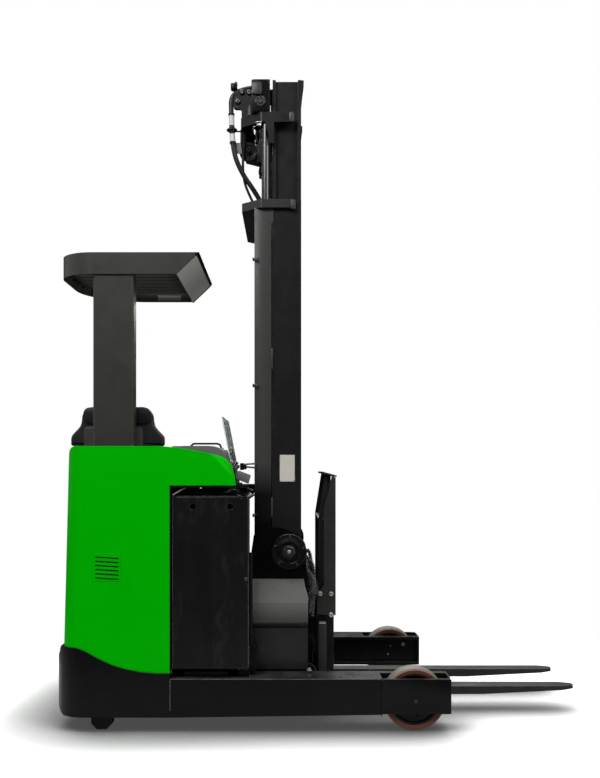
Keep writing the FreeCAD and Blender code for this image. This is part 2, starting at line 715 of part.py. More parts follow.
def screen():
    """Clear weather screen in front of the console, leaning back."""
    width, height = screen_left_y - screen_right_y, 262
    plate = slab("x", [(0, 0, 12), (width, 0, 12), (width, height, 25), (0, height, 25)], 0, 5)
    plate.translate(Vec(screen_foot_x, screen_right_y, screen_foot_z))
    return plate.rotated(Vec(screen_foot_x, 0, screen_foot_z), Vec(0, 1, 0), -screen_lean)


def screen_brackets():
    """Flat bars between the console's recess and the screen's lower corners."""
    lean = math.tan(math.radians(screen_lean))
    z0, z1 = screen_foot_z + 8, screen_foot_z + 60
    bars = []
    for y in (screen_right_y + 30, screen_left_y - 60):
        rear = [(screen_foot_x - 11 - (z - screen_foot_z) * lean + seat_gap, z) for z in (z0, z1)]
        front = [(screen_foot_x - (z - screen_foot_z) * lean - seat_gap, z) for z in (z1, z0)]
        bars.append(slab("y", rear + front, y, y + 30))
    return bars


def grab_handle():
    """Low bent tube over the console."""
    foot, top = console_top + seat_gap, console_top + 25
    path = outline("y", [(-672, foot), (-672, top, 22), (-517, top, 22), (-517, foot)], -120)
    edges = [e for e in path.Edges if e.BoundBox.ZMax > foot + 1]
    spine = Part.Wire(Part.__sortEdges__(edges))
    start = spine.OrderedVertexes[0].Point
    ring = Part.makePolygon([start + Vec(5 * math.cos(math.radians(a)), 5 * math.sin(math.radians(a)), 0)
                             for a in range(0, 361, 60)])
    return spine.makePipe(Part.Face(ring))


def steering_console():
    x0, x1 = steering_x - 86, steering_x + 52
    side = [(x0, floor_top), (x1, floor_top), (x1 - 10, steering_top, 20), (x0 + 8, steering_top, 20)]
    return slab("y", side, steering_y - 75, steering_y + 75)


def steering_wheel():
    cx, cy, z = steering_x, steering_y, steering_top + 80
    ring = [(82 + 11 * math.cos(math.radians(a)), z + 11 * math.sin(math.radians(a))) for a in range(0, 360, 60)]
    rim = spun("z", cx, cy, ring)
    hub = rod("z", cx, cy, steering_top + seat_gap, z + 6, 24)
    spokes = [turned(box(cx, cx + 76, cy - 9, cy + 9, z - 5, z + 4), "z", cx, cy, a) for a in (90, 210, 330)]
    return fuse(hub, rim, *spokes)


def pedals():
    pads = []
    for x in (steering_x + 52, body_front_x - 185, body_front_x - 85):
        pad = slab("x", [(0, 0, 6), (120, 0, 6), (120, 14, 6), (0, 14, 6)], x - 35, x + 35)
        pad.rotate(Vec(x, 0, 0), Vec(1, 0, 0), 28)
        pad.translate(Vec(0, pedal_y, floor_top + 12))
        stem = box(x - 10, x + 10, pedal_y + 40, pedal_y + 70, floor_top, floor_top + 34)
        pads.append(fuse(pad, stem))
    return pads


# ---------------------------------------------------------------- reach carriage
def reach_side():
    """Right side plate of the reach carriage: a foot along the rail and a cheek up to the pivot."""
    y1 = -leg_inner_y + 8
    shape = [(-430, 108), (-60, 108), (-60, 230), (reach_plate_front_x - 4, 250),
             (reach_plate_front_x - 4, 690), (pivot_x + 80, 760), (pivot_x + 80, pivot_z + 34, 50),
             (pivot_x + 41, pivot_z + 77, 25), (pivot_x - 36, pivot_z + 109, 60),
             (pivot_x - 93, pivot_z + 111, 40), (pivot_x - 131, pivot_z + 92, 20),
             (reach_plate_rear_x + 14, pivot_z + 89, 30), (reach_plate_rear_x, 808),
             (reach_plate_rear_x, 236), (-430, 236)]
    plate = slab("y", shape, y1, y1 + reach_plate_t)
    bore = rod("y", pivot_x, pivot_z, y1 - 5, y1 + 30, pivot_r + seat_gap)
    return plate.cut(bore)


def reach_cross():
    """Cross tube behind the mast foot, under the battery tray."""
    y = leg_inner_y - 8 - reach_plate_t
    beam = box(-430, -352, -y, y, 112, 232)
    hollow = box(-420, -362, -y - 1, y + 1, 122, 222)
    return beam.cut(hollow)


def reach_covers():
    """Cover on the lower half of each side plate: a creased bulge that turns in above a flat skirt."""
    y0 = -leg_inner_y + 8
    rear, front = reach_plate_rear_x + 2, reach_plate_front_x - 2
    profile = [(y0, leg_top + 8), (y0 - 8, leg_top + 8), (y0 - 8, 446, 12), (y0 - 36, 478, 34),
               (y0 - 36, 571), (y0 - 3, reach_cover_top), (y0, reach_cover_top)]
    cover = slab("x", profile, rear, front)
    corner = slab("y", [(front + 1, 600), (front + 1, 700), (front - 24, 700), (front - 12, 640)],
                  y0 - 40, y0 + 1)
    return cover.cut(corner)


def reach_rollers():
    web_y = -leg_inner_y - rail_depth + rail_web
    centre_z = (rail_bottom + leg_top) / 2
    r = (leg_top - rail_bottom) / 2 - rail_flange - seat_gap
    rollers = []
    for x in reach_roller_x:
        lo, hi = web_y + 3, -leg_inner_y + 2
        roller = spun("y", x, centre_z, [(0, lo), (r, lo), (r, hi), (28, hi), (28, hi + 6), (0, hi + 6)])
        rollers.append(roller)
    return rollers


def pivot_hub():
    """Flanged cap over the mast pivot: an inner ring and a hexagon nut."""
    y1 = -leg_inner_y + 8
    stub_r = pivot_r + seat_gap
    disc = spun("y", pivot_x, pivot_z,
                [(stub_r, y1), (hub_r, y1), (hub_r, y1 - 34), (hub_ring_r + 4, y1 - 34), (hub_ring_r, y1 - 30),
                 (hub_ring_r - 3, y1 - 38), (0, y1 - 38), (0, y1 - 20), (stub_r, y1 - 20)])
    nut_r = 32.0
    corners = [(pivot_x + nut_r * math.cos(math.radians(60 * k + 12)),
                pivot_z + nut_r * math.sin(math.radians(60 * k + 12))) for k in range(6)]
    nut = slab("y", corners, y1 - 54, y1 - 38)
    stud = rod("y", pivot_x, pivot_z, y1 - 60, y1 - 54, 13)
    return fuse(disc, nut, stud)


def tilt_cylinder():
    """Short cylinder between side plate and mast, as (barrel, rod)."""
    y, z = -outer_y - 32, tilt_z
    barrel = tube("x", y, z, -330, -240, 24, 15)
    gland = tube("x", y, z, -240, -225, 24, 12 + seat_gap)
    cap = rod("x", y, z, -342, -330, 24)
    lug = box(-342, -300, -leg_inner_y + 8 + reach_plate_t, y - 20, z - 15, z + 15)
    piston = rod("x", y, z, -300, -185, 12)
    eye = rod("y", -170, z, y - 14, y + 14, 20).cut(rod("y", -170, z, y - 20, y + 20, 12))
    return fuse(barrel, gland, cap, lug), fuse(piston, eye)


def reach_cylinder():
    """Reach cylinder as (barrel, rod), from under the floor to the carriage's cross tube."""
    y, z = reach_cylinder_y, reach_cylinder_z
    barrel = tube("x", y, z, -1075, -436, 36, 26)
    head = tube("x", y, z, -470, -436, 42, 20 + seat_gap)
    cap = rod("x", y, z, -1090, -1075, 36)
    lug = box(body_front_x - 70, body_front_x - 20, y - 40, y + 40, z + 30, deck_z - 12)
    piston = rod("x", y, z, -1060, -432, 20)
    disc = rod("x", y, z, -1060, -1045, 25)
    pad = rod("x", y, z, -434, -430, 30)
    return fuse(barrel, head, cap, lug), fuse(piston, disc, pad)


# ---------------------------------------------------------------- mast rails
def channel_plan(y_web, y_open, web):
    """Channel section in plan, with its web at y_web and open towards y_open."""
    return [(rail_rear, y_web), (rail_front, y_web), (rail_front, y_open), (rail_front - mast_flange, y_open),
            (rail_front - mast_flange, y_web + web), (rail_rear + mast_flange, y_web + web),
            (rail_rear + mast_flange, y_open), (rail_rear, y_open)]


def beam_plan(y0, y1):
    """I-section in plan between y0 and y1, with its web in the middle."""
    mid = (y0 + y1) / 2
    a, b = mid - mast_web / 2, mid + mast_web / 2
    rear, front = rail_rear + mast_flange, rail_front - mast_flange
    return [(rail_rear, y0), (rear, y0), (rear, a), (front, a), (front, y0), (rail_front, y0),
            (rail_front, y1), (front, y1), (front, b), (rear, b), (rear, y1), (rail_rear, y1)]


outer_open_y = -outer_y + outer_rail_w
middle_y0 = outer_open_y + running_gap
middle_y1 = middle_y0 + middle_rail_w
inner_y0 = middle_y1 + running_gap
inner_y1 = inner_y0 + inner_rail_w
middle_web = (middle_y0 + middle_y1) / 2
inner_web = (inner_y0 + inner_y1) / 2


def mast_roller(y0, y1, z, stub_y):
    """A flanged roller between y0 and y1 on a stub that reaches its rail's web at stub_y."""
    lo, hi = sorted((y0, y1))
    roller = rod("y", roller_x, z, lo, hi, roller_r)
    near = hi if stub_y > hi else lo
    stub = rod("y", roller_x, z, min(near, stub_y), max(near, stub_y), 18)
    return fuse(roller, stub)


def outer_mast():
    """Right outer rail with its welded rear stiffener and pivot stub."""
    channel = slab("z", channel_plan(-outer_y, outer_open_y, mast_web + 2), outer_bottom, outer_top)
    stiff_top = outer_top - yoke_t
    profile = [(stiffener_rear_x, -outer_y, 6), (rail_rear - 5, -outer_y), (rail_rear - 5, -outer_y + 10),
               (stiffener_rear_x + 10, -outer_y + 10), (stiffener_rear_x + 10, -outer_y + 60),
               (stiffener_rear_x, -outer_y + 60)]
    stiffener = slab("z", profile, outer_bottom, stiff_top)
    pads = [box(rail_rear - 5, rail_rear, -outer_y + 1, -outer_y + 9, z0, z1)
            for z0, z1 in ((outer_bottom, 240), (520, 620), (971, 1068), (1684, 1791), (stiff_top - 107, stiff_top))]
    stub = rod("y", pivot_x, pivot_z, -leg_inner_y + 8 - 18, -outer_y, pivot_r)
    collar = rod("y", pivot_x, pivot_z, -leg_inner_y + 8 + reach_plate_t + 2, -outer_y, 62)
    tilt_pin = rod("y", -170, tilt_z, -outer_y - 50, -outer_y, 10)
    roller = mast_roller(outer_open_y - 5, middle_web - mast_web / 2 - 3, outer_top - 65,
                         -outer_y + mast_web + 2)
    return fuse(channel, stiffener, stub, collar, tilt_pin, roller, *pads)


def yoke(y_out, arm_t, pad_y, rear, arm_end, z0, z1, hole_r):
    """Horizontal frame round the back of a pair of rails: arms outside, bored pads, rear bar."""
    chamfer_x, chamfer_y = -306.0, y_out + arm_t - 82
    outer_pts = [(arm_end, -y_out - arm_t, 6), (chamfer_x, -y_out - arm_t, 20), (rear, -chamfer_y, 20),
                 (rear, chamfer_y, 20), (chamfer_x, y_out + arm_t, 20), (arm_end, y_out + arm_t, 6)]
    inner_pts = [(arm_end, y_out), (rail_rear - running_gap, y_out), (rail_rear - running_gap, pad_y),
                 (rear + 58, pad_y, 10), (rear + 58, -pad_y, 10), (rail_rear - running_gap, -pad_y),
                 (rail_rear - running_gap, -y_out), (arm_end, -y_out)]
    plate = slab("z", outer_pts + inner_pts, z0, z1)
    for side in (-1, 1):
        plate = plate.cut(rod("z", cylinder_x, side * cylinder_y, z0 - 1, z1 + 1, hole_r))
    return plate


def outer_crossmembers():
    lower = box(stiffener_rear_x, stiffener_rear_x + 10, -outer_y + 60, outer_y - 60, outer_bottom, 300)
    middle = box(stiffener_rear_x, stiffener_rear_x + 10, -outer_y + 60, outer_y - 60, 1250, 1350)
    head = yoke(outer_y, 22, outer_y - 75, -401, -150, outer_top - yoke_t, outer_top, lift_rod_r + 1)
    return lower, middle, head


def lift_cylinders():
    """Barrel of the right lift cylinder behind its rail, and its chromed rod."""
    foot = outer_bottom + 15
    top = outer_top - yoke_t
    barrel = tube("z", cylinder_x, -cylinder_y, foot + 20, top, cylinder_r, lift_rod_r + 3)
    base = rod("z", cylinder_x, -cylinder_y, foot, foot + 20, cylinder_r)
    shelf = box(cylinder_x - 40, cylinder_x + 30, -outer_y + 12, -cylinder_y + 34, foot - 15, foot)
    piston = rod("z", cylinder_x, -cylinder_y, foot + 30, upper_yoke_bottom, lift_rod_r)
    return fuse(barrel, base, shelf), piston


def middle_mast():
    """Right middle rail, its foot roller in the outer rail and head roller in the inner one."""
    beam = slab("z", beam_plan(middle_y0, middle_y1), outer_bottom + 15, mast_height)
    foot = mast_roller(-outer_y + mast_web + 4, outer_open_y + 3, 180, middle_web - mast_web / 2)
    head = mast_roller(inner_y0 + 2, inner_web - mast_web / 2 - 3, mast_height - 84, middle_web + mast_web / 2)
    wedge = slab("y", [(rail_front, mast_height), (rail_front + 13, mast_height),
                       (rail_front + 13, mast_height - 30), (rail_front, mast_height - 140)],
                 middle_y0 + 4, middle_y0 + 20)
    return fuse(beam, foot, head, wedge)


def middle_crossmembers():
    """Foot bar and head of the middle mast: bar, yoke, rod blocks, gussets and the hoses' carriers."""
    y = -middle_y0 - 31
    bars = []
    for z0, z1 in ((105.0, 190.0), (mast_height - 104, mast_height - 34)):
        bar = box(-322, -297, -y, y, z0, z1)
        end = box(-297, rail_rear, y - 25, y, z0, z1)
        bars.append(fuse(bar, end, mirrored(end)))
    arm_t = 38
    yoke_top = upper_yoke_bottom + upper_yoke_t
    head = yoke(-middle_y0, arm_t, outer_y - 75, -408, -157, upper_yoke_bottom, yoke_top, 12)
    outside = middle_y0 - arm_t
    gusset = slab("y", [(-283, upper_yoke_bottom), (-242, upper_yoke_bottom), (-242, upper_yoke_bottom - 104),
                        (-262, upper_yoke_bottom - 104)], outside, outside + 11)
    block = slab("z", [(-353, -y), (-353, outside + 4, 18), (-262, outside + 4, 6), (-262, -y)],
                 yoke_top, mast_height - 10)
    sector_y = mast_hose_y - mast_hose_r
    sector = slab("y", [(-350, yoke_top), (-350, mast_height - 29, 6), (-444, mast_height - 29, 56),
                        (-444, yoke_top + 46, 14), (-404, yoke_top + 46, 8), (-404, yoke_top)],
                  sector_y, sector_y + 2 * mast_hose_r)
    hose_block = box(-300, -268, -y - 2, mast_hose_y + 15, mast_height - 44, mast_height)
    socket = ferrule(return_hose_route[0], return_hose_route[1], 9, 96)
    lower_block = box(-366, -290, mast_hose_y - 15, return_hose_y + 13, outer_top + 7, outer_top + 18)
    lower_arm = box(-290, rail_rear, mast_hose_y - 27, inner_y0 - running_gap, outer_top + 7, outer_top + 25)
    fittings = [ferrule(mast_hose_route[-1], mast_hose_route[-2], 15, 12),
                ferrule(return_hose_route[-1], return_hose_route[-2], 9, 12)]
    return bars[0], fuse(head, bars[1], gusset, mirrored(gusset), block, mirrored(block), sector,
                         hose_block, socket), fuse(lower_block, lower_arm, *fittings)


def inner_mast():
    beam = slab("z", beam_plan(inner_y0, inner_y1), outer_bottom + 30, mast_height - 14)
    foot = mast_roller(middle_web + mast_web / 2 + 2, middle_y1 + 2, 215, inner_web - mast_web / 2)
    return fuse(beam, foot)


def inner_crossmembers():
    y = -inner_y1
    return [box(-262, -208, -y, y, z0, z1) for z0, z1 in ((outer_bottom + 30, 200.0),
                                                         (mast_height - 94, mast_height - 20))]


def free_lift_cylinder():
    """Central cylinder on the inner mast's foot, as (barrel, rod with its chain sheaves)."""
    x = -235.0
    barrel = tube("z", x, 0, 215, 1380, 42, 32)
    base = rod("z", x, 0, 200, 215, 42)
    gland = tube("z", x, 0, 1380, 1410, 48, 25 + seat_gap)
    piston = rod("z", x, 0, 245, 1440, 25)
    head = box(x - 26, x + 26, -110, 110, 1440, 1490)
    sheaves = [spun("y", x, 1552, [(10, s * 80 - 14), (55, s * 80 - 14), (48, s * 80 - 8), (48, s * 80 + 8),
                                   (55, s * 80 + 14), (10, s * 80 + 14)]) for s in (-1, 1)]
    cheeks = [box(x - 16, x + 16, y - 4, y + 4, 1490, 1572) for y in (-100, -60, 60, 100)]
    pins = [rod("y", x, 1552, s * 80 - 24, s * 80 + 24, 10 - seat_gap) for s in (-1, 1)]
    return fuse(barrel, base, gland), fuse(piston, head, *cheeks, *pins), sheaves


# ---------------------------------------------------------------- lift carriage and forks
def lift_carriage():
    """Carriage between the inner rails: two cheeks with rollers, and an upper and lower bar."""
    y0 = inner_y1 + 7
    cheek = slab("y", [(-200, 140, 20), (-110, 120), (-62, 120), (-62, 600), (-110, 600),
                       (-200, 560, 30)], y0, y0 + 16)
    rollers = [mast_roller(inner_web + mast_web / 2 + 2, inner_y1 - 2, z, y0) for z in (215, 500)]
    right = fuse(cheek, *rollers)
    bars = [box(-62, -34, 95 - outer_y, outer_y - 95, z, z + 70) for z in (130.0, 520.0)]
    return fuse(right, mirrored(right), *bars)


def fork_frame():
    """Side-shifting frame that carries forks and load backrest."""
    lo, hi = -34 + seat_gap, 12.7
    bars = [box(lo, hi, -backrest_y + 12, backrest_y - 12, z, z + 76) for z in (118.0, 500.0)]
    uprights = [box(lo, hi, y, y + 30, 194, 500) for y in (-backrest_y + 12, -80, 50, backrest_y - 42)]
    return fuse(*bars, *uprights)


def fork(side):
    """One fork: shank, rounded heel and tapered blade with rounded tip corners."""
    rear = fork_heel_front_x - fork_t
    bottom = fork_top - fork_t
    shape = [(rear, 574), (rear, bottom, 46), (fork_taper_x, bottom), (fork_tip_x, fork_top - fork_tip_t),
             (fork_tip_x, fork_top), (fork_heel_front_x, fork_top, 10), (fork_heel_front_x, 574)]
    y0 = side * fork_centre_y - fork_width / 2
    body = slab("y", shape, y0, y0 + fork_width)
    plan = slab("z", [(rear - 5, y0), (fork_tip_x - 60, y0, 60), (fork_tip_x, y0 + 28, 18),
                      (fork_tip_x, y0 + fork_width - 28, 18), (fork_tip_x - 60, y0 + fork_width, 60),
                      (rear - 5, y0 + fork_width)], 0, 700)
    return body.common(plan)


def load_backrest():
    """Welded frame above the forks: two side plates, inclined top bar, cross bar and uprights."""
    plate_t = 12.0
    side = [(-33.7, 500), (57, 495), (57, backrest_top_front - 8), (38, backrest_top_front),
            (22, 1090, 60), (0, 1010, 40), (0, 640), (-33.7, 600, 8)]
    right = slab("y", side, -backrest_y, -backrest_y + plate_t)
    inner_y = backrest_y - plate_t
    top = slab("y", [(-7, backrest_top_rear - 8), (-7, backrest_top_rear), (62, backrest_top_front + 2),
                     (62, backrest_top_front - 6)], -backrest_y, backrest_y)
    cross = slab("y", [(-10, 962), (2, 966), (40, 936), (40, 926)], -inner_y, inner_y)
    bars = [box(20, 40, y - 8, y + 8, 640, backrest_top_front + 2) for y in (-190, 0, 190)]
    foot = box(20, 40, -inner_y, inner_y, 596, 640)
    return fuse(right, mirrored(right), top, cross, foot, *bars)


# ---------------------------------------------------------------- export
save("straddle_legs", both(leg()))
save("reach_rails", both(reach_rail()))
wheel_tyre, wheel_hub = load_wheel()
save("load_tyre_right", wheel_tyre)
save("load_hub_right", wheel_hub)
save("load_tyre_left", mirrored(wheel_tyre))
save("load_hub_left", mirrored(wheel_hub))

save("rear_skirt", skirt())
save("chassis_frame", chassis_frame())
save("floor_plate", floor_plate())
save("support_feet", support_feet())
save("drive_motor", drive_motor())
save("steer_gearbox", steer_gearbox())
drive_tyre, drive_hub = drive_wheel()
save("drive_tyre", drive_tyre)
save("drive_hub", drive_hub)

cover_right, cover_left = covers()
save("body_cover", cover_right)
save("hood_cover_left", cover_left)
save("battery", battery())
save("battery_lead", hose(battery_lead_route, battery_lead_r))
save("battery_tray", battery_tray())
save("battery_hood", battery_hood())
save("battery_stops", battery_stops())

save("guard_rim", guard_rim())
save("guard_slats", guard_slats())
save("guard_pillar", guard_pillar())

save("seat_pedestal", seat_pedestal())
save("seat_cushion", seat_cushion())
save("seat_back", seat_back())
save("console", console())
save("screen", screen())
save("screen_brackets", *screen_brackets())
save("grab_handle", grab_handle())
save("steering_console", steering_console())
save("steering_wheel", steering_wheel())
save("pedals", *pedals())

reach_barrel, reach_piston = reach_cylinder()
save("reach_cylinder", reach_barrel)
save("reach_rod", reach_piston)
save("reach_side_plates", both(reach_side()))
save("reach_cross_tube", reach_cross())
save("reach_covers", both(reach_covers()))
rollers = reach_rollers()
save("reach_rollers", *rollers, *[mirrored(r) for r in rollers])
save("pivot_hubs", both(pivot_hub()))
tilt_barrel, tilt_piston = tilt_cylinder()
save("tilt_cylinders", both(tilt_barrel))
save("tilt_rods", both(tilt_piston))

save("outer_mast_rails", both(outer_mast()))
save("outer_crossmembers", *outer_crossmembers())
lift_barrel, lift_piston = lift_cylinders()
save("lift_cylinders", both(lift_barrel))
save("lift_rods", both(lift_piston))
save("middle_mast_rails", both(middle_mast()))
save("middle_crossmembers", *middle_crossmembers())
save("mast_hose", hose(mast_hose_route, mast_hose_r))
save("return_hose", hose(return_hose_route, return_hose_r))
save("inner_mast_rails", both(inner_mast()))
save("inner_crossmembers", *inner_crossmembers())
free_barrel, free_piston, free_sheaves = free_lift_cylinder()
save("free_lift_cylinder", free_barrel)
save("free_lift_rod", free_piston)
save("chain_sheaves", *free_sheaves)

save("lift_carriage", lift_carriage())
save("fork_frame", fork_frame())
save("forks", fork(-1), fork(1))
save("load_backrest", load_backrest())
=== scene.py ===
import bpy
import bmesh
import math
import random
from mathutils import Matrix, Vector
from mathutils.bvhtree import BVHTree


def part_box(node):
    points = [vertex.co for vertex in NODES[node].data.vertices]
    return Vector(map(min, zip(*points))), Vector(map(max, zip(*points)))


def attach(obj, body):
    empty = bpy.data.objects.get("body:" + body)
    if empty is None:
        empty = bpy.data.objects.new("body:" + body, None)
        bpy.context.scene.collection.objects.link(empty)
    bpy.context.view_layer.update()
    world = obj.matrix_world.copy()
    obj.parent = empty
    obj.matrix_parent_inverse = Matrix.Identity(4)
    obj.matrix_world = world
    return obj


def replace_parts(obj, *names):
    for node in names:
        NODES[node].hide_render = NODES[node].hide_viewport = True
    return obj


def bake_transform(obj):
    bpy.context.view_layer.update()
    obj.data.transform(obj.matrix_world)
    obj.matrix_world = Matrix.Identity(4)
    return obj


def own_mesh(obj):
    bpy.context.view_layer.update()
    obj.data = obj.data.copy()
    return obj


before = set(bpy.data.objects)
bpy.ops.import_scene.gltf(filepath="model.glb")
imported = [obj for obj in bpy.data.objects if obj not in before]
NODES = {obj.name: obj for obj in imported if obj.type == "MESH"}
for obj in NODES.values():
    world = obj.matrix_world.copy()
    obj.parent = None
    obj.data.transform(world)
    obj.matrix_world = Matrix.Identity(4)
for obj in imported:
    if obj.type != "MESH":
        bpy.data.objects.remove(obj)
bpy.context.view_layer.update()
random.seed(7)


# ---------------------------------------------------------------- camera, light and floor
def camera():
    """Level camera that looks at the right side; its shift takes the place of a tilt."""
    data = bpy.data.cameras.new("camera")
    data.lens = 43.9
    data.sensor_width = 36.0
    data.shift_x = 0.0114
    data.shift_y = 0.105
    cam = bpy.data.objects.new("camera", data)
    cam.location = (-0.159, -4.97, 1.196)
    cam.rotation_euler = (math.radians(90), 0, 0)
    bpy.context.scene.collection.objects.link(cam)
    bpy.context.scene.camera = cam


def area(name, place, aim, width, height, power):
    """Soft box at a place, turned to its aim."""
    data = bpy.data.lights.new(name, "AREA")
    data.shape = "RECTANGLE"
    data.size = width
    data.size_y = height
    data.energy = power
    lamp = bpy.data.objects.new(name, data)
    lamp.location = place
    lamp.rotation_euler = (Vector(aim) - Vector(place)).to_track_quat("-Z", "Y").to_euler()
    bpy.context.scene.collection.objects.link(lamp)


def maths(tree, operation, *values):
    """A Math node of that operation on sockets or plain numbers."""
    node = tree.nodes.new("ShaderNodeMath")
    node.operation = operation
    for socket, value in zip(node.inputs, values):
        if isinstance(value, (int, float)):
            socket.default_value = value
        else:
            tree.links.new(value, socket)
    return node.outputs[0]


def mapped(tree, value, from_lo, from_hi, lo, hi, soft=False):
    """The socket's value taken from one range to another."""
    node = tree.nodes.new("ShaderNodeMapRange")
    if soft:
        node.interpolation_type = "SMOOTHSTEP"
    for key, number in (("From Min", from_lo), ("From Max", from_hi), ("To Min", lo), ("To Max", hi)):
        node.inputs[key].default_value = number
    tree.links.new(value, node.inputs["Value"])
    return node.outputs["Result"]


def studio_world():
    """White where the camera or glass looks through, dark before and behind for gloss, soft light from above."""
    world = bpy.data.worlds.new("studio")
    bpy.context.scene.world = world
    world.use_nodes = True
    tree = world.node_tree
    tree.nodes.clear()
    new, link = tree.nodes.new, tree.links.new
    rays = new("ShaderNodeLightPath")
    where = new("ShaderNodeTexCoord")
    apart = new("ShaderNodeSeparateXYZ")
    link(where.outputs["Generated"], apart.inputs[0])
    soft_light = mapped(tree, apart.outputs["Z"], -0.1, 0.8, 0.12, 0.58)
    sideways = mapped(tree, maths(tree, "ABSOLUTE", apart.outputs["Y"]), 0.3, 0.85, 0.75, 0.012)
    gloss = maths(tree, "MULTIPLY", rays.outputs["Is Glossy Ray"], sideways)
    matt = maths(tree, "MULTIPLY", maths(tree, "SUBTRACT", 1.0, rays.outputs["Is Glossy Ray"]), soft_light)
    seen = maths(tree, "MAXIMUM", rays.outputs["Is Camera Ray"], rays.outputs["Is Transmission Ray"])
    white = new("ShaderNodeBackground")
    white.inputs["Color"].default_value = (1, 1, 1, 1)
    link(maths(tree, "MAXIMUM", seen, maths(tree, "ADD", gloss, matt)), white.inputs["Strength"])
    out = new("ShaderNodeOutputWorld")
    link(white.outputs[0], out.inputs["Surface"])


def studio_floor():
    """Pale floor that keeps the truck's lit shadow, darkened nearby by a painted shadow from ambient occlusion where
    the camera sees it, and runs out into white further off.
    """
    bm = bmesh.new()
    bmesh.ops.create_grid(bm, x_segments=2, y_segments=2, size=40)
    mesh = bpy.data.meshes.new("floor")
    bm.to_mesh(mesh)
    bm.free()
    floor = bpy.data.objects.new("floor", mesh)
    floor.location.z = -0.0005
    bpy.context.scene.collection.objects.link(floor)
    mat = bpy.data.materials.new("floor")
    mat.use_nodes = True
    tree = mat.node_tree
    tree.nodes.clear()
    new, link = tree.nodes.new, tree.links.new
    rays = new("ShaderNodeLightPath")
    seen = maths(tree, "MAXIMUM", rays.outputs["Is Camera Ray"], rays.outputs["Is Transmission Ray"])
    place = new("ShaderNodeNewGeometry")
    squeeze = new("ShaderNodeVectorMath")
    squeeze.operation = "MULTIPLY"
    squeeze.inputs[1].default_value = (0.62, 1.0, 0.0)
    link(place.outputs["Position"], squeeze.inputs[0])
    length = new("ShaderNodeVectorMath")
    length.operation = "LENGTH"
    link(squeeze.outputs[0], length.inputs[0])
    away = mapped(tree, length.outputs["Value"], 0.95, 2.1, 0.0, 1.0, soft=True)
    # Painted shadow: ambient occlusion darkens the floor near the truck where the camera sees it.
    painted_floor_shadow = new("ShaderNodeAmbientOcclusion")
    painted_floor_shadow.samples = 12
    painted_floor_shadow.inputs["Distance"].default_value = 0.42
    shaded = maths(tree, "POWER", painted_floor_shadow.outputs["AO"], 3.4)
    pale = new("ShaderNodeMix")
    pale.data_type = "RGBA"
    link(mapped(tree, length.outputs["Value"], 1.4, 2.8, 0.45, 0.03), pale.inputs["A"])
    link(maths(tree, "MULTIPLY", shaded, 1.05), pale.inputs["B"])
    link(seen, pale.inputs["Factor"])
    diffuse = new("ShaderNodeBsdfDiffuse")
    link(pale.outputs["Result"], diffuse.inputs["Color"])
    lifted = new("ShaderNodeEmission")
    link(maths(tree, "MULTIPLY", seen, 0.07), lifted.inputs["Strength"])
    ground = new("ShaderNodeAddShader")
    link(diffuse.outputs[0], ground.inputs[0])
    link(lifted.outputs[0], ground.inputs[1])
    white = new("ShaderNodeEmission")
    faded = new("ShaderNodeMixShader")
    link(maths(tree, "MULTIPLY", seen, away), faded.inputs[0])
    link(ground.outputs[0], faded.inputs[1])
    link(white.outputs[0], faded.inputs[2])
    out = new("ShaderNodeOutputMaterial")
    link(faded.outputs[0], out.inputs["Surface"])
    mesh.materials.append(mat)


def studio():
    """Four soft boxes, mostly from above, so that the truck keeps a soft shadow under it."""
    area("key", (-2.4, -3.9, 5.0), (-0.3, -0.6, 1.0), 3.0, 2.2, 190)
    area("fill", (2.8, -3.6, 4.2), (0.0, -0.4, 0.9), 2.4, 2.4, 90)
    area("top", (-0.1, 0.5, 6.0), (-0.1, 0, 1.0), 4.0, 3.0, 170)
    area("back", (0.6, 4.6, 4.0), (0.0, 0, 1.0), 3.5, 2.4, 150)
    studio_world()
    studio_floor()
    bpy.context.scene.view_settings.view_transform = "Standard"


camera()
studio()


# ---------------------------------------------------------------- materials
def linear(r, g, b):
    """Screen levels from 0 to 255 as a linear colour."""
    def one(c):
        c /= 255
        return c / 12.92 if c <= 0.04045 else ((c + 0.055) / 1.055) ** 2.4
    return (one(r), one(g), one(b), 1.0)


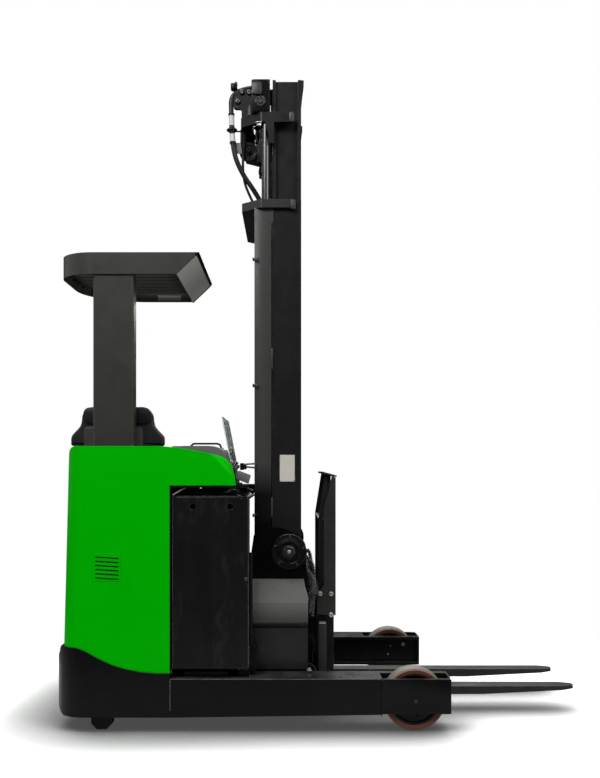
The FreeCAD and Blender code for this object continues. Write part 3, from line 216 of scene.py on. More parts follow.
def surface(name, colour, rough=0.45, metal=0.0, spec=0.5, mottle=0.12, mottle_scale=6.0, grain=0.0,
            grain_scale=900.0, edge=0.0012, wear=0.0, wear_colour=(120, 118, 114), dust_and_top_sheen=0.0, streak=0.0,
            flank=None, above=None, clear=0.0, scuff=0.0, painted_crevice_shade=0.0):
    """Painted, cast, rolled or moulded surface: uneven colour and gloss, fine grain, soft edges, wear, and painted
    light and shade.

    flank colours the faces that look sideways, and above = (from z, to z, colour) colours the part over a height, as
    painted light there and painted shade below it. The upward-face amount lightens faces that look up, partly as a
    dusty film and partly as a painted sheen; the occlusion amount darkens the colour in hollows as painted shade.
    """
    mat = bpy.data.materials.new(name)
    mat.use_nodes = True
    tree = mat.node_tree
    new, link = tree.nodes.new, tree.links.new
    bsdf = tree.nodes["Principled BSDF"]
    for key, value in (("Metallic", metal), ("Specular IOR Level", spec), ("Transmission Weight", clear)):
        bsdf.inputs[key].default_value = value
    where = new("ShaderNodeTexCoord").outputs["Object"]
    shape = new("ShaderNodeNewGeometry")

    def noise(scale, detail=4.0, stretch=None):
        tex = new("ShaderNodeTexNoise")
        for key, value in (("Scale", scale), ("Detail", detail), ("Roughness", 0.6)):
            tex.inputs[key].default_value = value
        place = where
        if stretch:
            mapping = new("ShaderNodeMapping")
            mapping.inputs["Scale"].default_value = stretch
            link(where, mapping.inputs["Vector"])
            place = mapping.outputs[0]
        link(place, tex.inputs["Vector"])
        return tex.outputs["Fac"]

    def ranged(value, lo, hi, from_lo=0.3, from_hi=0.7):
        return mapped(tree, value, from_lo, from_hi, lo, hi)

    def part_of(vector, axis):
        apart = new("ShaderNodeSeparateXYZ")
        link(vector, apart.inputs[0])
        return apart.outputs[axis]

    def mixed(under, over, factor, blend_type="MIX"):
        """Colour of one over the other; each may be a socket, and over and under a colour."""
        mix = new("ShaderNodeMix")
        mix.data_type = "RGBA"
        mix.blend_type = blend_type
        for key, value in (("A", under), ("B", over), ("Factor", factor)):
            if isinstance(value, (tuple, float)):
                mix.inputs[key].default_value = value
            else:
                link(value, mix.inputs[key])
        return mix.outputs["Result"]

    def rounded(radius):
        """Normal of the surface with its edges eased by that radius."""
        bevel = new("ShaderNodeBevel")
        bevel.samples = 4
        bevel.inputs["Radius"].default_value = radius
        return bevel.outputs[0]

    base = linear(*colour)
    darker = tuple(c * (1 - mottle) for c in base[:3]) + (1,)
    lighter = tuple(min(1, c * (1 + mottle)) for c in base[:3]) + (1,)
    top = mixed(darker, lighter, ranged(noise(mottle_scale), 0, 1))
    # Painted light: the colour over the given height stands for light falling there, and the colour below it for
    # painted shade.
    if above:
        top = mixed(top, linear(*above[2]), ranged(part_of(where, "Z"), 0, 1, above[0], above[1]))
    if flank:
        sideways = maths(tree, "ABSOLUTE", part_of(shape.outputs["True Normal"], "Y"))
        top = mixed(top, linear(*flank), ranged(sideways, 0, 1, 0.55, 0.8))
    if streak:
        top = mixed(top, ranged(noise(26, 3, (1, 1, 0.06)), 0.55, 1.25), streak, "MULTIPLY")
    # Lightens faces that look up, partly as a dusty film and partly as a painted sheen on top faces.
    if dust_and_top_sheen:
        up = ranged(part_of(shape.outputs["Normal"], "Z"), 0, dust_and_top_sheen, 0.4, 1.0)
        top = mixed(top, linear(150, 146, 138), maths(tree, "MULTIPLY", up, ranged(noise(9, 5), 0.2, 1.0)))
    # Painted shade: ambient occlusion darkens the colour in hollows and between parts.
    if painted_crevice_shade:
        shade_occlusion = new("ShaderNodeAmbientOcclusion")
        shade_occlusion.samples = 8
        shade_occlusion.inputs["Distance"].default_value = 0.06
        top = mixed(top, maths(tree, "POWER", shade_occlusion.outputs["AO"], painted_crevice_shade), 1.0, "MULTIPLY")
    if scuff:
        rubs = maths(tree, "MULTIPLY", ranged(noise(22, 7, (1, 1, 0.3)), 0, scuff, 0.54, 0.76),
                     ranged(noise(3.2, 3), 0, 1, 0.48, 0.62))
        top = mixed(top, linear(*wear_colour), rubs)
    if wear:
        turn = new("ShaderNodeVectorMath")
        turn.operation = "DOT_PRODUCT"
        link(shape.outputs["True Normal"], turn.inputs[0])
        link(rounded(0.004), turn.inputs[1])
        rim = ranged(turn.outputs["Value"], 1.0, 0.0, 0.86, 0.985)
        top = mixed(top, linear(*wear_colour),
                    maths(tree, "MULTIPLY", rim, ranged(noise(38, 6), 0.0, wear, 0.42, 0.66)))
    link(top, bsdf.inputs["Base Color"])
    link(ranged(noise(mottle_scale * 2.3, 5), rough * 0.82, min(1, rough * 1.2)), bsdf.inputs["Roughness"])

    normal = rounded(max(edge, 0.0006))
    if grain:
        bump = new("ShaderNodeBump")
        bump.inputs["Strength"].default_value = grain
        bump.inputs["Distance"].default_value = 0.0006
        link(noise(grain_scale, 2), bump.inputs["Height"])
        link(normal, bump.inputs["Normal"])
        normal = bump.outputs[0]
    link(normal, bsdf.inputs["Normal"])
    return mat


M = {
    "green": surface("green_paint", (0, 174, 0), rough=0.3, spec=0.04, mottle=0.03, grain=0.05,
                     grain_scale=700, edge=0.004),
    "black": surface("black_paint", (10, 10, 10), rough=0.3, spec=0.16, mottle=0.18, grain=0.1,
                     grain_scale=520, wear=0.55, wear_colour=(80, 79, 76), dust_and_top_sheen=0.12),
    "skirt": surface("skirt_paint", (7, 7, 7), rough=0.3, spec=0.2, mottle=0.2, grain=0.2, grain_scale=380,
                     edge=0.005, dust_and_top_sheen=0.08),
    "guard": surface("guard_paint", (53, 53, 48), rough=0.34, spec=0.3, mottle=0.07, grain=0.3, grain_scale=600,
                     edge=0.004),
    "battery": surface("battery_paint", (22, 22, 23), rough=0.3, spec=0.16, mottle=0.16, grain=0.15,
                       grain_scale=300, wear=0.9, wear_colour=(112, 112, 110), dust_and_top_sheen=0.1, streak=0.3, scuff=0.09),
    "mast": surface("mast_paint", (29, 29, 29), rough=0.32, spec=0.2, mottle=0.12, grain=0.1, wear=0.5,
                    wear_colour=(96, 95, 92), dust_and_top_sheen=0.05, streak=0.2),
    "fork": surface("fork_paint", (36, 36, 35), rough=0.4, spec=0.16, mottle=0.2, grain=0.25, grain_scale=260,
                    wear=0.9, wear_colour=(130, 128, 122), dust_and_top_sheen=0.1),
    # Reach cover paint, lighter above z 0.452 to 0.560 as a painted sheen on the upper bulge.
    "cover": surface("reach_cover_painted_sheen", (32, 32, 32), rough=0.3, spec=0.4, mottle=0.16, grain=0.15, grain_scale=330,
                     edge=0.004, above=(0.452, 0.560, (98, 98, 95))),
    "steel": surface("bright_steel", (176, 176, 174), rough=0.3, metal=1.0, mottle=0.1, grain=0.1),
    "chrome": surface("chromed_rod", (74, 74, 76), rough=0.2, metal=1.0, mottle=0.06),
    "iron": surface("cast_iron", (25, 23, 21), rough=0.5, spec=0.25, mottle=0.2, grain=0.6, grain_scale=260),
    "tread": surface("polyurethane", (112, 108, 98), rough=0.5, spec=0.25, mottle=0.14, grain=0.3,
                     grain_scale=210, flank=(92, 52, 40)),
    "rubber": surface("rubber", (16, 16, 16), rough=0.6, spec=0.2, mottle=0.2, grain=0.4, grain_scale=420),
    "vinyl": surface("seat_vinyl", (30, 30, 30), rough=0.5, spec=0.25, mottle=0.1, grain=0.6, grain_scale=700),
    "console": surface("grey_plastic", (96, 100, 97), rough=0.5, spec=0.25, mottle=0.05, grain=0.4,
                       grain_scale=900, edge=0.004),
    "dark_plastic": surface("dark_plastic", (22, 22, 22), rough=0.5, spec=0.25, mottle=0.08, grain=0.4,
                            grain_scale=800, edge=0.003),
    "hose": surface("hose_rubber", (20, 20, 20), rough=0.34, spec=0.3, mottle=0.15, grain=0.25, grain_scale=420),
    "white_sleeve": surface("white_sleeve", (205, 205, 200), rough=0.5, spec=0.3, mottle=0.08, grain=0.3,
                            grain_scale=300),
    "zinc": surface("zinc_plate", (190, 190, 186), rough=0.32, metal=0.85, mottle=0.12, grain=0.1),
    "zinc_dark": surface("dark_zinc", (74, 74, 74), rough=0.3, metal=0.8, mottle=0.15, grain=0.1),
    "weld": surface("weld_bead", (58, 58, 58), rough=0.4, spec=0.4, mottle=0.2, grain=0.6, grain_scale=240),
    "deep_black": surface("deep_black_paint", (7, 7, 7), rough=0.35, spec=0.12, mottle=0.2, grain=0.15),
    "bare_grey": surface("grey_cast_steel", (52, 52, 52), rough=0.36, spec=0.4, mottle=0.2, grain=0.3,
                         grain_scale=300),
    "light_grey": surface("light_grey_paint", (118, 118, 115), rough=0.45, spec=0.3, mottle=0.06, grain=0.2),
    "label": surface("blank_label", (196, 192, 184), rough=0.4, spec=0.35, mottle=0.05, grain=0.1),
    # Painted light on the rail flange: lighter from z 1.08 to 1.24 upwards, with painted shadow below.
    "mast_light": surface("mast_flange_painted_light", (16, 16, 16), rough=0.34, spec=0.25, mottle=0.16, mottle_scale=4,
                          grain=0.1, streak=0.2, above=(1.08, 1.24, (63, 63, 62))),
    # Mast paint made lighter for the lower yoke, as painted light.
    "yoke": surface("yoke_painted_light", (46, 46, 45), rough=0.32, spec=0.3, mottle=0.16, grain=0.1, streak=0.1),
    # Painted highlight for the legs' lit edges.
    "edge_light": surface("leg_edge_painted_highlight", (84, 84, 83), rough=0.4, spec=0.3, mottle=0.5, mottle_scale=40),
    # Mast paint made lighter for the load backrest, as painted light; its edges also wear.
    "backrest": surface("backrest_painted_light", (42, 42, 41), rough=0.34, spec=0.3, mottle=0.14, grain=0.1, wear=0.4,
                        wear_colour=(110, 110, 108)),
    "gloss_black": surface("gloss_black_paint", (14, 14, 14), rough=0.2, spec=0.5, mottle=0.1, edge=0.002),
    "shelf_grey": surface("shelf_paint", (70, 70, 69), rough=0.4, spec=0.3, mottle=0.1, grain=0.1),
    # Pale acrylic edge, partly the cut edge's own look and partly a painted highlight along the screen's front edge.
    "bright_edge": surface("acrylic_edge_painted_highlight", (222, 230, 226), rough=0.2, spec=0.5, mottle=0.03),
    # Painted highlight for the battery's edges.
    "dim_edge_highlight": surface("battery_edge_painted_highlight", (66, 66, 65), rough=0.4, spec=0.3, mottle=0.6, mottle_scale=60),
    "clear": surface("clear_acrylic", (240, 250, 246), rough=0.05, spec=0.5, mottle=0.02, clear=0.93),
    # Light grey for the guard's front face, as painted light where it looks forward and down.
    "guard_face": surface("guard_face_painted_light", (205, 205, 199), rough=0.45, spec=0.2, mottle=0.05, grain=0.2),
    # Guard slats, darkened in the gaps between slats by painted shade.
    "slats": surface("guard_slat_paint", (50, 50, 46), rough=0.45, spec=0.1, mottle=0.06, grain=0.2, painted_crevice_shade=2.2),
    "slide_grey": surface("worn_slide", (46, 46, 45), rough=0.4, spec=0.35, mottle=0.15, grain=0.2),
    "guard_coil": surface("coiled_guard", (66, 66, 65), rough=0.3, spec=0.45, mottle=0.15, grain=0.1),
    "vinyl_light": surface("seat_vinyl_worn", (58, 58, 56), rough=0.48, spec=0.3, mottle=0.08, grain=0.5,
                           grain_scale=700, edge=0.004),
    "seat_shell": surface("seat_shell_plastic", (26, 26, 26), rough=0.42, spec=0.3, mottle=0.06, grain=0.5,
                          grain_scale=900, edge=0.005),
    "dark_glass": surface("display_glass", (10, 13, 14), rough=0.12, spec=0.5, mottle=0.05, edge=0.001),
    "red": surface("red_plastic", (150, 14, 10), rough=0.35, spec=0.4, mottle=0.05, grain=0.1),
    "yellow": surface("yellow_plastic", (196, 160, 20), rough=0.4, spec=0.4, mottle=0.05, grain=0.1),
    "chain": surface("oiled_chain", (62, 60, 57), rough=0.3, metal=0.75, mottle=0.3, grain=0.2),
}

NODE_FINISHES = {
    "black": "straddle_legs reach_rails chassis_frame support_feet battery_tray battery_hood battery_stops "
             "screen_brackets grab_handle reach_cylinder reach_cross_tube tilt_cylinders fork_frame",
    "tread": "load_tyre_right load_tyre_left",
    "iron": "load_hub_right load_hub_left drive_motor steer_gearbox drive_hub",
    "skirt": "rear_skirt",
    "rubber": "floor_plate drive_tyre pedals mast_hose return_hose battery_lead",
    "green": "body_cover hood_cover_left",
    "battery": "battery",
    "guard": "guard_rim guard_pillar",
    "slats": "guard_slats",
    "dark_plastic": "seat_pedestal steering_console steering_wheel",
    "vinyl": "seat_cushion seat_back",
    "console": "console",
    "clear": "screen",
    "chrome": "reach_rod tilt_rods lift_rods free_lift_rod",
    "deep_black": "reach_side_plates pivot_hubs",
    "cover": "reach_covers",
    "steel": "reach_rollers chain_sheaves",
    "mast": "outer_mast_rails lift_cylinders middle_mast_rails middle_crossmembers inner_mast_rails "
            "inner_crossmembers free_lift_cylinder lift_carriage",
    "yoke": "outer_crossmembers",
    "fork": "forks",
    "backrest": "load_backrest",
}

for kind, names in NODE_FINISHES.items():
    for node in names.split():
        NODES[node].data.materials.clear()
        NODES[node].data.materials.append(M[kind])


# ---------------------------------------------------------------- shapes
def block(lo, hi, edge=0.002, segments=2):
    """Box between two corners with eased edges."""
    lo, hi = Vector(lo), Vector(hi)
    bm = bmesh.new()
    bmesh.ops.create_cube(bm, size=1)
    bmesh.ops.scale(bm, vec=hi - lo, verts=bm.verts)
    bmesh.ops.translate(bm, vec=(lo + hi) / 2, verts=bm.verts)
    if edge:
        bmesh.ops.bevel(bm, geom=bm.edges[:], offset=edge, affect="EDGES", segments=segments, profile=0.5,
                        material=-1)
    return bm


def plate(outline, thick, edge=0.0015, round_corners=0.0, segments=2):
    """Flat outline of (x, y) corners given a thickness along Z, corners rounded, rims eased."""
    bm = bmesh.new()
    face = bm.faces.new([bm.verts.new((x, y, 0)) for x, y in outline])
    if round_corners:
        bmesh.ops.bevel(bm, geom=bm.verts[:], offset=round_corners, affect="VERTICES", segments=5, profile=0.5,
                        material=-1)
        face = bm.faces[:][0]
    raised = bmesh.ops.extrude_face_region(bm, geom=[face])
    top = [g for g in raised["geom"] if isinstance(g, bmesh.types.BMVert)]
    bmesh.ops.translate(bm, vec=(0, 0, thick), verts=top)
    bmesh.ops.recalc_face_normals(bm, faces=bm.faces)
    if edge:
        rims = [e for e in bm.edges if abs(e.verts[0].co.z - e.verts[1].co.z) < 1e-7]
        bmesh.ops.bevel(bm, geom=rims, offset=edge, affect="EDGES", segments=segments, profile=0.5, material=-1)
    return bm


def turned(profile, steps=32, ring=False):
    """Profile of (radius, along) corners spun once round Z; a ring's profile closes on itself."""
    bm = bmesh.new()
    verts = [bm.verts.new((radius, 0, along)) for radius, along in profile]
    edges = [bm.edges.new(two) for two in zip(verts, verts[1:] + (verts[:1] if ring else []))]
    bmesh.ops.spin(bm, geom=verts + edges, cent=(0, 0, 0), axis=(0, 0, 1), angle=math.tau, steps=steps,
                   use_merge=True)
    bmesh.ops.remove_doubles(bm, verts=bm.verts, dist=1e-6)
    bmesh.ops.recalc_face_normals(bm, faces=bm.faces)
    return bm


def disc(radius, height, steps=16):
    """Round plate or pin that stands on its end."""
    return turned([(0, 0), (radius, 0), (radius, height), (0, height)], steps)


def washer(inner, outer, height, steps, low=0.0):
    """Round plate with a hole through it."""
    return turned([(inner, low), (outer, low), (outer, height), (inner, height)], steps, ring=True)


def prism(sides, across, height, edge=0.0008):
    """Bar stock standing on its end: a hexagon for nuts, many sides for pins."""
    bm = bmesh.new()
    radius = across / 2 / math.cos(math.pi / sides)
    bmesh.ops.create_cone(bm, cap_ends=True, segments=sides, radius1=radius, radius2=radius, depth=height)
    bmesh.ops.translate(bm, vec=(0, 0, height / 2), verts=bm.verts)
    if edge:
        rims = [e for e in bm.edges if abs(e.verts[0].co.z - e.verts[1].co.z) < 1e-7]
        bmesh.ops.bevel(bm, geom=rims, offset=edge, affect="EDGES", segments=1, profile=0.5, material=-1)
    return bm


def stood(shape, place, toward=(0, 0, 1), turn=0.0):
    """Turns the shape's own Z to that direction and moves its origin to the place."""
    aim = Vector(toward).to_track_quat("Z", "Y").to_matrix().to_4x4()
    bmesh.ops.transform(shape, verts=shape.verts, matrix=Matrix.Translation(place) @ aim
                        @ Matrix.Rotation(turn, 4, "Z"))
    return shape


def moved(shape, vec):
    """Shifts the shape by that much."""
    bmesh.ops.translate(shape, vec=vec, verts=shape.verts)
    return shape


def side_plate(outline, y0, y1, edge=0.0015, round_corners=0.0):
    """Plate whose outline is in (x, z), standing between two y planes."""
    shape = plate(outline, abs(y1 - y0), edge, round_corners)
    bmesh.ops.transform(shape, verts=shape.verts, matrix=Matrix.Translation((0, max(y0, y1), 0))
                        @ Matrix.Rotation(math.radians(90), 4, "X"))
    return shape


def other_side(shape):
    """Copy of the shape on the truck's other side."""
    copy = shape.copy()
    bmesh.ops.scale(copy, vec=(1, -1, 1), verts=copy.verts)
    bmesh.ops.reverse_faces(copy, faces=copy.faces)
    return copy


def both(*shapes):
    """The shapes and their copies on the truck's other side."""
    return [*shapes, *(other_side(shape) for shape in shapes)]


def line_through(points, smooth=True, order=3):
    """Curve data with one spline through or near the points."""
    data = bpy.data.curves.new("line", "CURVE")
    data.dimensions = "3D"
    data.resolution_u = 10
    line = data.splines.new("NURBS" if smooth else "POLY")
    line.points.add(len(points) - 1)
    for knot, place in zip(line.points, points):
        knot.co = (*place, 1)
    if smooth:
        line.order_u = order
        line.use_endpoint_u = True
    return data


def meshed(data):
    """Mesh of a curve, with the curve thrown away."""
    holder = bpy.data.objects.new("holder", data)
    mesh = bpy.data.meshes.new_from_object(holder)
    bpy.data.objects.remove(holder)
    bpy.data.curves.remove(data)
    return mesh


def pipe(points, radius, smooth=True, sides=3):
    """Rigid pipe or rod along the points."""
    data = line_through(points, smooth)
    data.bevel_depth = radius
    data.bevel_resolution = sides
    data.use_fill_caps = True
    bm = bmesh.new()
    mesh = meshed(data)
    bm.from_mesh(mesh)
    bpy.data.meshes.remove(mesh)
    bmesh.ops.remove_doubles(bm, verts=bm.verts, dist=1e-6)
    bmesh.ops.recalc_face_normals(bm, faces=bm.faces)
    return bm


def joined(shapes):
    """One shape of several, which are used up."""
    whole = bmesh.new()
    for shape in shapes:
        part = bpy.data.meshes.new("part")
        shape.to_mesh(part)
        shape.free()
        whole.from_mesh(part)
        bpy.data.meshes.remove(part)
    return whole


def piece(name, body, slot, kind, *shapes, sharp=35):
    """One object of all the shapes, riding on its body."""
    whole = joined(shapes)
    mesh = bpy.data.meshes.new(name)
    whole.to_mesh(mesh)
    whole.free()
    mesh.polygons.foreach_set("use_smooth", [True] * len(mesh.polygons))
    mesh.set_sharp_from_angle(angle=math.radians(sharp))
    mesh.materials.append(M[kind])
    made = bpy.data.objects.new(name, mesh)
    bpy.context.scene.collection.objects.link(made)
    if body:
        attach(made, body)
    return made


def hex_bolt(across, head):
    """Hexagon head on a washer, its seat at the origin, facing up Z."""
    return joined([moved(prism(6, across, head, across * 0.06), (0, 0, across * 0.14)),
                   disc(across * 0.95, across * 0.14, 20)])


def nut_and_stud(across, height, edge, radius, length, start):
    """Hexagon with a round stud that starts at that height."""
    return joined([prism(6, across, height, edge), moved(disc(radius, length), (0, 0, start))])


def socket_screw(radius, head):
    """Cap screw with a round socket, its seat at the origin, facing up Z."""
    return turned([(0, 0), (radius, 0), (radius, head * 0.85), (radius * 0.88, head), (radius * 0.5, head),
                   (radius * 0.5, head * 0.4), (0, head * 0.4)], 16)


def circle(centre, radius, angles, beside=0.0):
    """Places on an upright circle round the Y axis, moved sideways from its centre."""
    return [Vector((centre[0] + radius * math.cos(a), centre[1] + beside, centre[2] + radius * math.sin(a)))
            for a in angles]


def turns(count, start=0.0):
    """Evenly spaced angles of a full turn."""
    return [math.tau * k / count + start for k in range(count)]


def row(make, places, toward=(0, 0, 1)):
    """The same fastener at each place."""
    return [stood(make(), place, toward) for place in places]


def highlight_strip(x0, x1, z0, z1, face_y):
    """Thin strip laid on a face that looks to the right, as a painted highlight along an edge."""
    return block((x0, face_y - 0.0006, z0), (x1, face_y + 0.001, z1), 0.0003, 1)


# ---------------------------------------------------------------- hoses and the battery's lead
def hose(name, node, body, route, radius):
    """Round hose on its own route, in place of the frame's plain tube."""
    data = line_through(route)
    data.name = name
    data.resolution_u = 16
    data.bevel_depth = radius
    data.bevel_resolution = 6
    data.use_fill_caps = True
    data.materials.append(M["hose"])
    made = bpy.data.objects.new(name, data)
    bpy.context.scene.collection.objects.link(made)
    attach(made, body)
    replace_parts(made, node)
    return made


def along(route, low, high):
    """Points of the hose's own line between two heights."""
    mesh = meshed(line_through(route))
    points = [v.co.copy() for v in mesh.vertices if low <= v.co.z <= high]
    bpy.data.meshes.remove(mesh)
    return points


HOSE_Y = -0.265
RETURN_Y = -0.235
MAST_HOSE = [(x, HOSE_Y, z) for x, z in ((-0.300, 3.096), (-0.458, 3.096), (-0.455, 2.940), (-0.446, 2.770),
                                         (-0.398, 2.662), (-0.345, 2.590), (-0.312, 2.532))]
RETURN_HOSE = [(x, RETURN_Y, z) for x, z in ((-0.398, 2.800), (-0.401, 2.715), (-0.394, 2.640), (-0.372, 2.580),
                                             (-0.348, 2.532))]
BATTERY_LEAD = [(-0.703, -0.520, 1.093), (-0.640, -0.526, 1.093), (-0.570, -0.556, 1.093),
                (-0.500, -0.556, 1.093), (-0.446, -0.538, 1.093)]
SLEEVE_ENDS = ((2.897, 2.967), (2.818, 2.872))

mast_hose = hose("lift_hose", "mast_hose", "mast_middle", MAST_HOSE, 0.012)
return_hose = hose("return_hose_line", "return_hose", "mast_middle", RETURN_HOSE, 0.0065)
battery_lead = hose("battery_cable", "battery_lead", "chassis", BATTERY_LEAD, 0.010)

sleeves = piece("hose_sleeves", "mast_middle", "grey_plastic", "white_sleeve",
                *[pipe(along(MAST_HOSE, low, high), 0.0138, smooth=False, sides=6) for low, high in SLEEVE_ENDS])
cuffs = [stood(washer(0.0122, 0.0158, 0.005, 24, -0.005),
               min(along(MAST_HOSE, z - 0.02, z + 0.02), key=lambda p: abs(p.z - z)), (0.03, 0, -1))
         for low, high in SLEEVE_ENDS for z in (high, low)]
cuffs.append(stood(washer(0.0122, 0.026, 0.003, 24, -0.003), (-0.4525, HOSE_Y, 2.8845), (0.03, 0, -1)))
hose_cuffs = piece("hose_cuffs", "mast_middle", "black_paint", "black", *cuffs)


# ---------------------------------------------------------------- mast head
FRONT = (0, -1, 0)
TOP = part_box("middle_mast_rails")[1].z
YOKE = TOP - 0.218
HEAD_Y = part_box("middle_crossmembers")[0].y
OUTER_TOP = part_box("outer_mast_rails")[1].z


def guide_roller():
    """Flanged hose roller."""
    return turned([(0, 0), (0.013, 0), (0.013, 0.002), (0.0105, 0.0035), (0.0105, 0.007), (0.013, 0.0085),
                   (0.013, 0.0105), (0, 0.0105)], 24)


def roller_ring():
    """Bright ring round a roller's bolt."""
    return washer(0.0070, 0.0086, 0.0014, 24)


sector_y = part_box("mast_hose")[0].y
GUIDES = [(-0.4035, TOP - 0.043), (-0.423, TOP - 0.09), (-0.365, TOP - 0.044)]
piece("hose_guide_rollers", "mast_middle", "black_paint", "black",
      *row(guide_roller, [(x, sector_y, z) for x, z in GUIDES], FRONT))
piece("hose_guide_rings", "mast_middle", "steel", "zinc",
      *row(roller_ring, [(x, sector_y - 0.0105, z) for x, z in GUIDES], FRONT))
piece("hose_guide_bolts", "mast_middle", "steel", "zinc_dark",
      *row(lambda: prism(6, 0.008, 0.004, 0.0006), [(x, sector_y - 0.0105, z) for x, z in GUIDES], FRONT))
saddle = block((-0.458, -0.284, TOP - 0.030), (-0.424, -0.246, TOP + 0.003), 0.007, 3)
stud = stood(prism(6, 0.012, 0.010, 0.001), (-0.434, -0.265, TOP + 0.002), (0.2, 0, 1))
piece("hose_saddle", "mast_middle", "black_paint", "black", saddle, stud)


def head_fittings():
    """Rod end cap, its ring of screws and the boss above it, on the right rod block."""
    centre = (-0.309, HEAD_Y, TOP - 0.119)
    cap = stood(turned([(0, 0), (0.026, 0), (0.026, 0.004), (0.0235, 0.006), (0.0175, 0.006), (0.0165, 0.003),
                        (0.0125, 0.003), (0.0125, 0.009), (0.0105, 0.011), (0, 0.011)], 36), centre, FRONT)
    screws = row(lambda: socket_screw(0.0032, 0.004),
                 circle(centre, 0.0205, (0.3, 1.35, 2.4, 3.44, 4.5, 5.5), -0.006), FRONT)
    boss = side_plate([(-0.350, TOP - 0.030), (-0.302, TOP - 0.030), (-0.302, TOP - 0.088), (-0.350, TOP - 0.088)],
                      HEAD_Y - 0.012, HEAD_Y + 0.001, 0.002, 0.009)
    return [cap, *screws], boss


caps, boss = head_fittings()
piece("rod_end_caps", "mast_middle", "steel", "zinc_dark", *both(*caps))
piece("rod_block_bosses", "mast_middle", "mast_paint", "bare_grey", *both(boss))
block_face = side_plate([(-0.351, YOKE + 0.050), (-0.264, YOKE + 0.050), (-0.264, TOP - 0.040),
                         (-0.280, TOP - 0.013), (-0.351, TOP - 0.013)],
                        HEAD_Y - 0.0015, HEAD_Y + 0.001, 0.0006, 0.006)
piece("rod_block_faces", "mast_middle", "black_paint", "deep_black", *both(block_face))
STUB = (-0.361, -0.300, YOKE + 0.048)
stub = stood(turned([(0, 0), (0.0125, 0), (0.0125, 0.045), (0.010, 0.050), (0, 0.050)], 24), STUB)
collar = stood(disc(0.016, 0.008, 24), STUB)
vent = stood(turned([(0, 0), (0.006, 0), (0.006, 0.004), (0.009, 0.005), (0.009, 0.009), (0.005, 0.011),
                     (0, 0.011)], 20), (-0.288, -0.300, TOP - 0.011))
piece("head_stubs", "mast_middle", "mast_paint", "bare_grey", *both(stub, collar))
piece("head_vents", "mast_middle", "steel", "zinc", *both(vent))


def yoke_lugs(x, y, z0, z1):
    """Weld lug and its bead where an arm of a yoke meets the rail."""
    lug = block((x - 0.018, y - 0.004, z0 + 0.002), (x, y + 0.014, z1 - 0.002), 0.002)
    bead = pipe([(x + 0.002, y + 0.002, z0 + 0.004), (x + 0.002, y + 0.002, z1 - 0.004)], 0.0035, smooth=False)
    return [lug, bead]


piece("upper_yoke_welds", "mast_middle", "mast_paint", "weld",
      *both(*yoke_lugs(-0.150, HEAD_Y, YOKE, YOKE + 0.048)))
piece("lower_yoke_welds", "mast_outer", "mast_paint", "weld",
      *both(*yoke_lugs(-0.143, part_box("outer_crossmembers")[0].y, OUTER_TOP - 0.05, OUTER_TOP)))

yoke_nuts = [stood(hex_bolt(0.022, 0.013), (-0.316, -0.342, YOKE), (0, 0, -1)),
             stood(hex_bolt(0.019, 0.011), (-0.392, -0.110, YOKE), (0, 0, -1))]
piece("yoke_nuts", "mast_middle", "steel", "zinc", *both(*yoke_nuts))


PULLEY = (-0.371, -0.206, YOKE - 0.098)
pulley = turned([(0.012, -0.012), (0.046, -0.012), (0.047, -0.009), (0.040, -0.004), (0.040, 0.004), (0.047, 0.009),
                 (0.046, 0.012), (0.034, 0.012), (0.031, 0.007), (0.020, 0.007), (0.018, 0.012), (0.012, 0.012)],
                48, ring=True)
pulley_pin = turned([(0, -0.02), (0.0115, -0.02), (0.0115, 0.02), (0.009, 0.022), (0, 0.022)], 24)
cheek = side_plate([(-0.408, YOKE + 0.002), (-0.340, YOKE + 0.002), (-0.344, YOKE - 0.098), (-0.371, YOKE - 0.122),
                    (-0.398, YOKE - 0.098)], -0.190, -0.185, 0.001, 0.012)
piece("hose_pulley", "mast_middle", "steel", "gloss_black", stood(pulley, PULLEY, FRONT))
piece("pulley_cheek", "mast_middle", "mast_paint", "deep_black", cheek, stood(pulley_pin, PULLEY, FRONT))
strap = side_plate([(-0.440, YOKE - 0.066), (-0.410, YOKE - 0.066), (-0.402, YOKE - 0.120), (-0.428, YOKE - 0.120)],
                   -0.252, -0.247, 0.001, 0.004)
arm = block((-0.4525, -0.250, YOKE - 0.012), (-0.398, -0.244, YOKE - 0.005), 0.0015)
stem = block((-0.412, -0.250, YOKE - 0.110), (-0.400, -0.244, YOKE + 0.002), 0.0015)
piece("hose_bracket", "mast_middle", "black_paint", "black", arm, stem)
piece("hose_strap", "mast_middle", "grey_paint", "light_grey", strap)


def leaf_chain(x, y, z0, z1, pitch, width):
    """Leaf chain: pins a pitch apart, with two plates and three plates taking turns between them."""
    shapes = []
    for i in range(int((z1 - z0) / pitch)):
        z = z1 - (i + 0.5) * pitch
        for step in ((-1, 0, 1) if i % 2 else (-0.5, 0.5)):
            leaf_y = y + step * width / 2.2
            leaf = block((x - 0.0075, leaf_y - 0.0012, z - 0.016), (x + 0.0075, leaf_y + 0.0012, z + 0.016), 0)
            bmesh.ops.bevel(leaf, geom=[e for e in leaf.edges if abs(e.verts[0].co.y - e.verts[1].co.y) > 0.001],
                            offset=0.005, affect="EDGES", segments=1, profile=0.5, material=-1)
            shapes.append(leaf)
        rivet = prism(6, 0.005, width + 0.004, 0)
        shapes.append(stood(rivet, (x, y + width / 2 + 0.002, z + pitch / 2), FRONT))
    return joined(shapes)


